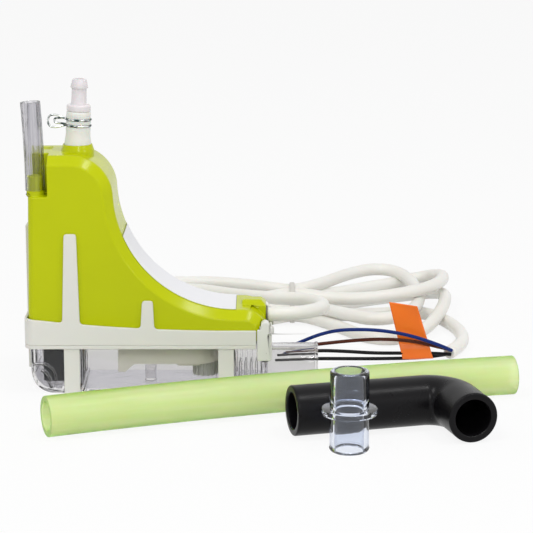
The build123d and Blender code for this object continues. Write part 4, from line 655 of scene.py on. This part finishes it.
# %% Clear plastics
def clear_recipe(tint, deeper, haze, painted_edge_shade=None, drawn=False):
    """Clear plastic: a tint that varies slightly, polish broken by faint flow marks. Where a wall is seen
    edge on, painted shade turns the colour grey, for the dark room it mirrors and the longer way light
    takes through it. A drawn tube's marks are stretched along Z into long lines."""
    def recipe(position):
        flow = position.noise(70.0, 3.0, 0.55)
        if drawn:
            lines = position.add(
                "VectorMath", {"operation": "MULTIPLY"}, position, (620, 620, 6), output=0
            )
            flow = lines.noise(1.0, 2.0, 0.6).ramp((0.42, 0), (0.62, 1))
        # Painted shade: the colour turns grey where a wall is seen edge on, for the dark room it mirrors
        # there.
        slant = position.add("LayerWeight", {}, Blend=0.5, output=1).ramp((0.45, 0), (0.85, 1))
        return {
            "Base Color": slant.between(flow.between(tint, deeper), painted_edge_shade or deeper),
            "Roughness": haze + flow.ramp((0.45, 0), (0.8, 1)) * 0.06,
            "Normal": position.bump(flow * 0.0002),
        }
    return recipe


def lit_through(made, share):
    """Lets this share of the light pass, as thin clear walls do, so that what is behind them isn't
    left in the dark. A transparent shader takes over for shadow rays and for diffuse light."""
    tree = made.node_tree
    glass = tree.nodes["Principled BSDF"].outputs[0]
    kinds = tree.nodes.new("ShaderNodeLightPath").outputs
    rays = Signal(kinds["Is Shadow Ray"]).top(Signal(kinds["Is Diffuse Ray"]))
    open_way = tree.nodes.new("ShaderNodeBsdfTransparent")
    mix = tree.nodes.new("ShaderNodeMixShader")
    tree.links.new(mix.inputs[0], (rays * share).socket)
    tree.links.new(mix.inputs[1], glass)
    tree.links.new(mix.inputs[2], open_way.outputs[0])
    tree.links.new(tree.nodes["Material Output"].inputs[0], mix.outputs[0])
    return made


# The last colour of each clear material is the painted shade of its walls seen edge on.
tank_clear = material(
    "tank_clear",
    clear_recipe(srgb(234, 233, 233), srgb(226, 225, 226), 0.015, srgb(186, 187, 204)),
    Transmission_Weight=1.0, IOR=1.36,
)
connector_clear = material(
    "connector_clear",
    clear_recipe(srgb(236, 240, 248), srgb(226, 232, 244), 0.005, srgb(150, 160, 190)),
    Transmission_Weight=1.0, IOR=1.45,
)
vinyl_clear = material(
    "vinyl_clear",
    clear_recipe(srgb(238, 237, 239), srgb(196, 195, 200), 0.02, srgb(96, 97, 102), drawn=True),
    Transmission_Weight=1.0, IOR=1.4,
)


def hose_recipe(position):
    """Lime vinyl: pale where light goes straight through, deeper where the wall is seen edge on,
    with long soft streaks from the extruder."""
    streaks = position.add(
        "VectorMath", {"operation": "MULTIPLY"}, position, (12, 60, 400), output=0
    )
    soft = streaks.noise(1.0, 3.0, 0.6)
    slant = position.add("LayerWeight", {}, Blend=0.5, output=1).ramp((0.35, 0), (0.8, 1))
    return {
        "Base Color": slant.between(
            soft.ramp((0.3, 0), (0.7, 1)).between(srgb(226, 242, 172), srgb(236, 247, 196)),
            srgb(176, 222, 78),
        ),
        "Roughness": 0.30 + position.noise(800.0) * 0.1,
        "Normal": position.bump(position.noise(90.0) * 0.0001),
    }


hose_vinyl = material(
    "hose_vinyl", hose_recipe, Transmission_Weight=0.55, IOR=1.35,
    Subsurface_Weight=0.35, Subsurface_Scale=0.004,
)


def film_recipe(position):
    """Printed film: a strong orange with a slight sheen that follows its creases."""
    creases = position.noise(130.0, 2.0)
    return {
        "Base Color": creases.between(srgb(252, 126, 26), srgb(247, 112, 14)),
        "Roughness": 0.36 + creases * 0.12,
        "Normal": position.bump(creases * 0.0003),
    }


orange_film = material("orange_film", film_recipe)

LET_THROUGH = (
    (tank_clear, 0.85), (connector_clear, 0.8), (vinyl_clear, 0.8), (hose_vinyl, 0.35),
)
for clear, share in LET_THROUGH:
    lit_through(clear, share)

# %% Every solid gets its finish
FINISHES = {
    "clear_plastic": tank_clear, "white_rubber": cradle_rubber, "white_plastic": white_clip,
    "green_plastic": green_shell, "cream_plastic": cream_plate, "foam": foam, "magnet": ferrite,
    "label": label_face, "clear_vinyl": vinyl_clear, "silicone": silicone, "white_acetal": acetal,
    "spring_steel": spring_wire, "black_rubber": black_rubber, "pin_steel": ground_steel,
    "seal_rubber": seal_rubber, "grey_plastic": grey_plate, "screw_steel": zinc_plate,
    "yoke_steel": zinc_plate, "bobbin_plastic": black_nylon, "winding": copper_winding,
    "brass": turned_brass, "plunger_steel": ground_steel, "board": circuit_green,
    "components": case_black, "hose": hose_vinyl, "cable_white": sheath, "tie": nylon,
    "wire_blue": blue_skin, "wire_brown": brown_skin, "wire_black": black_skin,
    "orange_label": orange_film,
}
for part in frame["record"]["subparts"]:
    for place in NODES[part["node"]].material_slots:
        place.material = FINISHES[part["material_slot"]]

# %% [markdown]
# ## Edges that catch the light
# A mould never leaves a razor edge. On the real housing the rounded edges show as thin bright
# lines, so the large mouldings are copied from their solids, merged, and given a small bevel. The
# copy stands for the solid, whose own mesh is left as it is.

# %% Softened copies of the mouldings
FLAT_ENOUGH = math.radians(1.0)
SHARP = math.radians(28)
ROUND_STEPS = 4


def softened(node, width, corner=0.0, is_corner=None, groove=None, is_left=None):
    """A copy of a solid with its doubled points merged, its flat faces joined, and its sharp edges
    rounded to this width. Edges that is_corner picks are rounded to the corner's width, and those
    that is_left picks stay as they are. A groove is a height, a half width and a depth: three level
    cuts, of which the middle one is pushed in. The copy rides on the solid's own body."""
    mesh = NODES[node].data.copy()
    work = bmesh.new()
    work.from_mesh(mesh)
    bmesh.ops.remove_doubles(work, verts=work.verts, dist=1e-6)
    bmesh.ops.dissolve_limit(
        work, angle_limit=FLAT_ENOUGH, verts=work.verts, edges=work.edges, delimit={"NORMAL"},
    )
    widest = max(width, corner)
    share = work.edges.layers.float.new("bevel_weight_edge")
    for edge in work.edges:
        left = is_left and is_left(edge)
        if edge.is_manifold and edge.calc_face_angle() > SHARP and not left:
            edge[share] = (corner if is_corner and is_corner(edge) else width) / widest
    if groove:
        height, half, depth = groove
        for level in (height - half, height, height + half):
            bmesh.ops.bisect_plane(
                work, geom=work.verts[:] + work.edges[:] + work.faces[:], dist=1e-7,
                plane_co=(0, 0, level), plane_no=(0, 0, 1),
            )
        work.normal_update()
        for point in work.verts:
            if abs(point.co.z - height) < 1e-6:
                point.co -= depth * point.normal
    work.to_mesh(mesh)
    work.free()
    copy = linked(node + "_dressed", mesh)
    for stale in [a for a in mesh.attributes if a.name == "custom_normal"]:
        mesh.attributes.remove(stale)
    mesh.shade_smooth()
    mesh.set_sharp_from_angle(angle=SHARP)
    rounding = copy.modifiers.new("soft_edges", "BEVEL")
    rounding.width, rounding.segments, rounding.limit_method = widest, ROUND_STEPS, "WEIGHT"
    rounding.harden_normals, rounding.use_clamp_overlap = True, False
    rounding.miter_outer = "MITER_ARC"
    mesh.materials.clear()
    mesh.materials.append(NODES[node].material_slots[0].material)
    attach(copy, NODES[node]["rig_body"])
    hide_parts(node)
    print(copy.name, len(mesh.polygons), "faces before rounding")
    return copy


def across(edge, *spans):
    """True for an edge along Y inside one of these spans (x from, x to, z from, z to)."""
    a, b = edge.verts[0].co, edge.verts[1].co
    x, _, z = (a + b) / 2
    straight = abs(b.y - a.y) > 0.95 * (b - a).length
    return straight and any(left < x < right and low < z < high for left, right, low, high in spans)


BOSS_MIDDLE, BOSS_REACH, BOSS_FROM = Vector((-0.0307, 0.0)), 0.0105, 0.08


def round_the_boss(edge):
    """True for the small edges where the discharge boss and its hole meet the housing's top."""
    middle = (edge.verts[0].co + edge.verts[1].co) / 2
    return (middle.xy - BOSS_MIDDLE).length < BOSS_REACH and middle.z > BOSS_FROM


FINGERS = (-0.045, 0.010, 0.029, 0.075)
BAND_GROOVE = (0.0225, 0.0002, 0.0004)
softened("cradle", 0.35 * MM, 1.5 * MM, lambda edge: across(edge, FINGERS), BAND_GROOVE)
TOP_LEFT = (-0.0545, -0.050, 0.1055, 0.1075)
softened(
    "housing_shell", 0.6 * MM, 2.4 * MM, lambda edge: across(edge, TOP_LEFT),
    is_left=round_the_boss,
)
softened("reservoir_clip", 0.6 * MM)
softened("label_plate", 0.2 * MM)
softened("base_plate", 0.35 * MM)
softened("reservoir_tray", 0.3 * MM)

# %% [markdown]
# ## Hose, elbow and connector
# These three lie loose in front of the pump. A hose is a ring carried along a line, out along the
# outer wall and back along the bore, so that both walls and both cut ends are one closed skin.
# The elbow is the same skin on a line with one tight bend, and the connector is one on an upright
# line.

# %% A wall with a bore
def walled(length, outer, inner, lip, stations):
    """The profile of a pipe: along the outer wall, round the far lip, back along the bore and round
    the near lip. Each corner is a quarter circle of radius lip."""
    run = np.linspace(lip, length - lip, stations)
    there = [(s, outer) for s in run]
    back = [(s, inner) for s in run[::-1]]
    far = arc((length - lip, outer - lip), lip, 90, 0, 5)[1:]
    far += arc((length - lip, inner + lip), lip, 0, -90, 5)[:-1]
    near = arc((lip, inner + lip), lip, 270, 180, 5)[1:]
    near += arc((lip, outer - lip), lip, 180, 90, 5)[:-1]
    return there + far + back + near


HOSE_OUT, HOSE_IN = 8.65 * MM, 6.15 * MM
HOSE_ROUTE = MM * np.array([(-38.5, -81.0, 8.75), (61.85, -39.6, 8.75), (162.8, -18.2, 8.75)])
hose_path = smooth_line("hose_line", HOSE_ROUTE)
hose_length = along(hose_path)[0][-1]
drain_hose = carried(
    "drain_hose_tube", hose_path, walled(hose_length, HOSE_OUT, HOSE_IN, 0.3 * MM, 90), 56,
    hose_vinyl,
)
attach(drain_hose, "drain_hose")
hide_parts("drain_hose")
print("drain hose", round(hose_length, 4), "m")

# %% Rubber elbow
ELBOW_OUT, ELBOW_IN, ELBOW_BEND = 10.6 * MM, 7.7 * MM, 12.6 * MM
ELBOW_FROM = np.array((63.5, -79.1, 10.7)) * MM
ELBOW_LONG, ELBOW_SHORT, ELBOW_HEADING = 69.1 * MM, 29.9 * MM, math.radians(15.4)


def elbow_line():
    """Points on the elbow's centre line: a straight, a quarter circle to the right, a straight."""
    first = np.linspace(0, ELBOW_LONG - ELBOW_BEND, 60)[:, None] * (1, 0)
    turn = np.linspace(0, math.pi / 2, 40)[1:]
    corner = np.column_stack([
        ELBOW_LONG - ELBOW_BEND + ELBOW_BEND * np.sin(turn), ELBOW_BEND * (np.cos(turn) - 1),
    ])
    last = np.column_stack([
        np.full(30, ELBOW_LONG), -np.linspace(ELBOW_BEND, ELBOW_SHORT, 31)[1:],
    ])
    flat = np.concatenate([first, corner, last])
    c, s = math.cos(ELBOW_HEADING), math.sin(ELBOW_HEADING)
    turned = flat @ np.array(((c, s), (-s, c)))
    return ELBOW_FROM + np.column_stack([turned, np.zeros(len(turned))])


elbow_path = elbow_line()
elbow_length = along(elbow_path)[0][-1]
elbow = carried(
    "rubber_elbow_dressed", elbow_path, walled(elbow_length, ELBOW_OUT, ELBOW_IN, 0.7 * MM, 110),
    72,
    black_rubber,
)
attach(elbow, "rubber_elbow")
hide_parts("rubber_elbow")

# %% Clear connector
CONNECTOR_FOOT = np.array((86.6, -99.6, 0.1)) * MM
# Pairs of distance along the line and radius.
connector_profile = MM * np.array([
    (0, 6.5), (0, 6.7), *arc((1.5, 6.7), 1.5, 180, 90, 5)[1:], (1.5, 8.0), (8.45, 8.0), (15.4, 8.0),
    *arc((15.4, 8.3), 0.3, 270, 360, 3)[1:], *arc((16.0, 11.1), 0.3, 180, 90, 4),
    *arc((17.8, 11.1), 0.3, 90, 0, 4), *arc((18.4, 8.3), 0.3, 180, 270, 3)[1:],
    (26, 8.0), (32.9, 8.0), *arc((32.9, 7.0), 1.0, 90, 0, 6)[1:], (33.9, 6.5),
    *arc((33.5, 6.4), 0.4, 0, -90, 4)[1:], (26, 6.0), (17, 6.0), (8, 6.0), (2.2, 6.0), (1.0, 6.0),
])
connector = carried(
    "hose_connector_dressed", [CONNECTOR_FOOT, CONNECTOR_FOOT + (0, 0, 34 * MM)], connector_profile,
    96,
    connector_clear, lean=(0, 1, 0),
)
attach(connector, "hose_connector")
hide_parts("hose_connector")
print("kit pieces ready")

# %% [markdown]
# ## The outlets on the head
# Water leaves through a white barb. It is pushed into a soft silicone sleeve that bulges below its
# collar and is squeezed to a waist by the wire clip. Air enters through a stub of clear vinyl tube
# that was pushed over a small barb and stands slightly askew.

# %% Silicone sleeve and barb
HEAD_TOP = 107.0 * MM
PUMP_X = -30.7 * MM
LEAN = math.radians(2.6)
UP = np.array((math.sin(LEAN), 0, math.cos(LEAN)))
SLEEVE_KNEE = np.array((PUMP_X, 0, HEAD_TOP))
SLEEVE_DROP, SLEEVE_RISE = np.array((0, 0, 8.5 * MM)), 17.7 * MM * UP
SLEEVE_TOP = SLEEVE_KNEE + SLEEVE_RISE
EASE = np.linspace(0, 1, 24)[:, None]
sleeve_path = np.concatenate([
    SLEEVE_KNEE - SLEEVE_DROP + EASE[:-1] * SLEEVE_DROP, SLEEVE_KNEE + EASE * SLEEVE_RISE,
])
sleeve_profile = MM * np.array([
    (0, 3.2), (0, 5.6), (8, 5.95), (10, 6.0), (12, 5.95), (13.6, 5.7), (15.2, 5.45), (16.8, 5.4),
    (18.0, 5.5), (19.0, 5.45), (19.8, 5.1), (20.6, 5.45), (21.2, 5.5), (21.8, 5.45), (22.5, 5.1),
    (23.2, 5.35), (24.2, 5.4), (25.4, 5.38), (25.9, 5.2), (26.2, 4.8), (26.2, 3.2), (18, 3.2),
    (9, 3.2),
])
sleeve = carried(
    "discharge_sleeve_dressed", sleeve_path, sleeve_profile, 56, silicone, lean=(0, 1, 0),
)
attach(sleeve, "pump_head")
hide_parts("discharge_sleeve")

barb_profile = MM * np.array([
    (0, 2.0), (0, 3.15), (7.8, 3.15), (8.0, 3.3), (8.0, 5.05),
    *arc((8.25, 5.05), 0.25, 180, 90, 4)[1:], (10.1, 5.3), *arc((10.1, 4.7), 0.6, 90, 0, 5)[1:],
    (10.7, 4.0), (10.85, 3.6), (11.5, 3.42), (14, 3.34), (18.0, 3.28), (18.2, 3.3), (18.2, 3.75),
    *arc((18.35, 3.75), 0.15, 180, 90, 3)[1:], (20.4, 3.45), (21.7, 3.12),
    *arc((21.7, 2.62), 0.5, 90, 0, 5)[1:], (22.2, 2.2), (22.0, 2.0), (12, 2.0),
])
BARB_FOOT = SLEEVE_TOP - 8.0 * MM * UP
barb = carried(
    "discharge_barb_dressed", [BARB_FOOT, BARB_FOOT + 22.2 * MM * UP], barb_profile, 64, acetal,
    lean=(0, 1, 0),
)
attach(barb, "pump_head")
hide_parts("discharge_barb")

# %% Spring clip
CLIP_WIRE, CLIP_HOOP = 0.9 * MM, 5.5 * MM
LOW_HOOP, HIGH_HOOP, EAR_HALF_ANGLE = 11.3 * MM, 14.0 * MM, math.radians(13)
SIDE = np.array((math.cos(LEAN), 0, -math.sin(LEAN)))


def hoop(height, count=26):
    """Points of one turn round the sleeve, from the front of the gap on the left to its back. The
    angle is counted from the left side, and the three columns are side, Y and height."""
    turn = np.linspace(EAR_HALF_ANGLE, 2 * math.pi - EAR_HALF_ANGLE, count)
    return CLIP_HOOP * np.column_stack([-np.cos(turn), -np.sin(turn), 0 * turn]) + (0, 0, height)


BACK_EAR = MM * np.array([
    (-8.0, 1.1, 13.9), (-10.4, 1.0, 13.8), (-10.9, 1.0, 12.8), (-10.4, 1.0, 11.7),
    (-8.0, 1.1, 11.6),
])
FRONT_EAR = MM * np.array([
    (-7.2, -1.3, 10.7), (-10.4, -1.3, 9.9), (-12.9, -1.3, 10.5), (-13.5, -1.3, 12.9),
    (-12.9, -1.3, 15.2), (-10.4, -1.3, 15.8), (-7.2, -1.3, 14.8),
])
clip_route = np.concatenate([
    hoop(HIGH_HOOP), BACK_EAR, hoop(LOW_HOOP)[::-1], FRONT_EAR, hoop(HIGH_HOOP)[:3],
])
clip_route = SLEEVE_KNEE + clip_route @ np.array((SIDE, (0, 1, 0), UP))
spring_clip, clip_wire = solid_cord(
    "spring_clip_dressed", smooth_line("clip_line", clip_route), CLIP_WIRE, 12, spring_wire,
)
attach(spring_clip, "pump_head")
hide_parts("spring_clip")
print("clip wire", round(clip_wire, 4), "m")

# %% Vent tube
VENT_FOOT = np.array((-48.5, -12.6, 91.4)) * MM
VENT_RISE, VENT_SWAY = 39.0 * MM, 1.3 * MM
climb = np.linspace(0, 1, 40)[:, None]
vent_path = VENT_FOOT + climb * (0, 0, VENT_RISE) - climb**2 * (VENT_SWAY, 0, 0)
vent_length = along(vent_path)[0][-1]
vent = carried(
    "vent_tube_dressed", vent_path, walled(vent_length, 4.4 * MM, 3.5 * MM, 0.15 * MM, 40), 56,
    vinyl_clear, lean=(0, 1, 0),
)
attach(vent, "pump_head")
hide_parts("vent_tube")
print("outlets ready")

# %% [markdown]
# ## Tie and marker
# A thin nylon tie gathers the hank at its waist, where seven strands lie in a honeycomb. The
# marker is one strip of orange film, folded round the two black wires and stuck to itself, so it
# has a small loop at the bottom and two layers that do not quite line up.

# %% Cable tie
TIE_X, TIE_MIDDLE = 66 * MM, np.array((110.0, 10.1)) * MM
TIE_REACH, TIE_SECTION = (10.9 * MM, 9.6 * MM), (1.25 * MM, 0.42 * MM)
SQUARENESS = 0.8


def tie_band(turns=120, corners=24):
    """A flat band round the bundle. The ring is a squared circle (each coordinate is the cosine or
    sine to the power 0.8), and the band's section is a flat oval on it."""
    turn = np.linspace(0, 2 * math.pi, turns, endpoint=False)[:, None]
    around = np.linspace(0, 2 * math.pi, corners, endpoint=False)[None, :]

    def squared(wave):
        return np.sign(wave) * np.abs(wave) ** SQUARENESS

    y, z = TIE_REACH[0] * squared(np.cos(turn)), TIE_REACH[1] * squared(np.sin(turn))
    out = TIE_SECTION[1] * squared(np.sin(around))
    return np.stack([
        TIE_X + TIE_SECTION[0] * squared(np.cos(around)) + 0 * turn,
        TIE_MIDDLE[0] + y + out * np.cos(turn), TIE_MIDDLE[1] + z + out * np.sin(turn),
    ], axis=-1)


tie = sheet_piece("cable_tie_dressed", tie_band(), finish=nylon)
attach(tie, "root")
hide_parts("cable_tie")

# %% Orange marker
FLAG_CORNERS = MM * np.array([(117.5, 0.35), (131.9, 1.1), (110.6, 28.5), (123.2, 27.0)])
FLAG_Y, FLAG_LOOP, FLAG_FILM = 36.1 * MM, 1.35 * MM, 0.16 * MM


def marker_sheet(across=24, down=90):
    """The folded strip. u goes across it, and v from the front layer's top edge round the fold to
    the back layer's. X and Z mix the four corners, and Y is the half gap: wide round the wires at
    the fold, closing with height, plus a slow wave that the film keeps from its roll."""
    u = np.linspace(0, 1, across)[:, None]
    v = np.linspace(-1, 1, down)[None, :]
    rise = np.abs(v)
    foot = FLAG_CORNERS[0] + u[..., None] * (FLAG_CORNERS[1] - FLAG_CORNERS[0])
    head = FLAG_CORNERS[2] + u[..., None] * (FLAG_CORNERS[3] - FLAG_CORNERS[2])
    flat = foot + rise[..., None] * (head - foot)
    shut = np.clip((rise - 0.17) / 0.16, 0, 1)
    loop = np.sqrt(np.clip(rise / 0.05, 0, 1)) * (1 - shut**2 * (3 - 2 * shut))
    gap = np.sign(v) * (FLAG_FILM * 0.55 + FLAG_LOOP * loop) * np.clip(rise / 0.02, 0, 1)
    wave = 0.9 * MM * rise**2 * np.cos(2.2 * u + 0.6) + 0.25 * MM * np.sin(7 * rise + 3 * u) * rise
    slip = 0.6 * MM * np.clip(v, 0, 1)
    return np.stack([flat[..., 0] + slip, FLAG_Y + gap + wave, flat[..., 1] - 0.3 * slip], axis=-1)


marker = sheet_piece(
    "marker_flag_dressed", marker_sheet(), around=False, closed=False, finish=orange_film
)
film = marker.modifiers.new("film", "SOLIDIFY")
film.thickness, film.offset = FLAG_FILM, 0
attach(marker, "root")
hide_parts("marker_flag")
print("tie and marker ready")
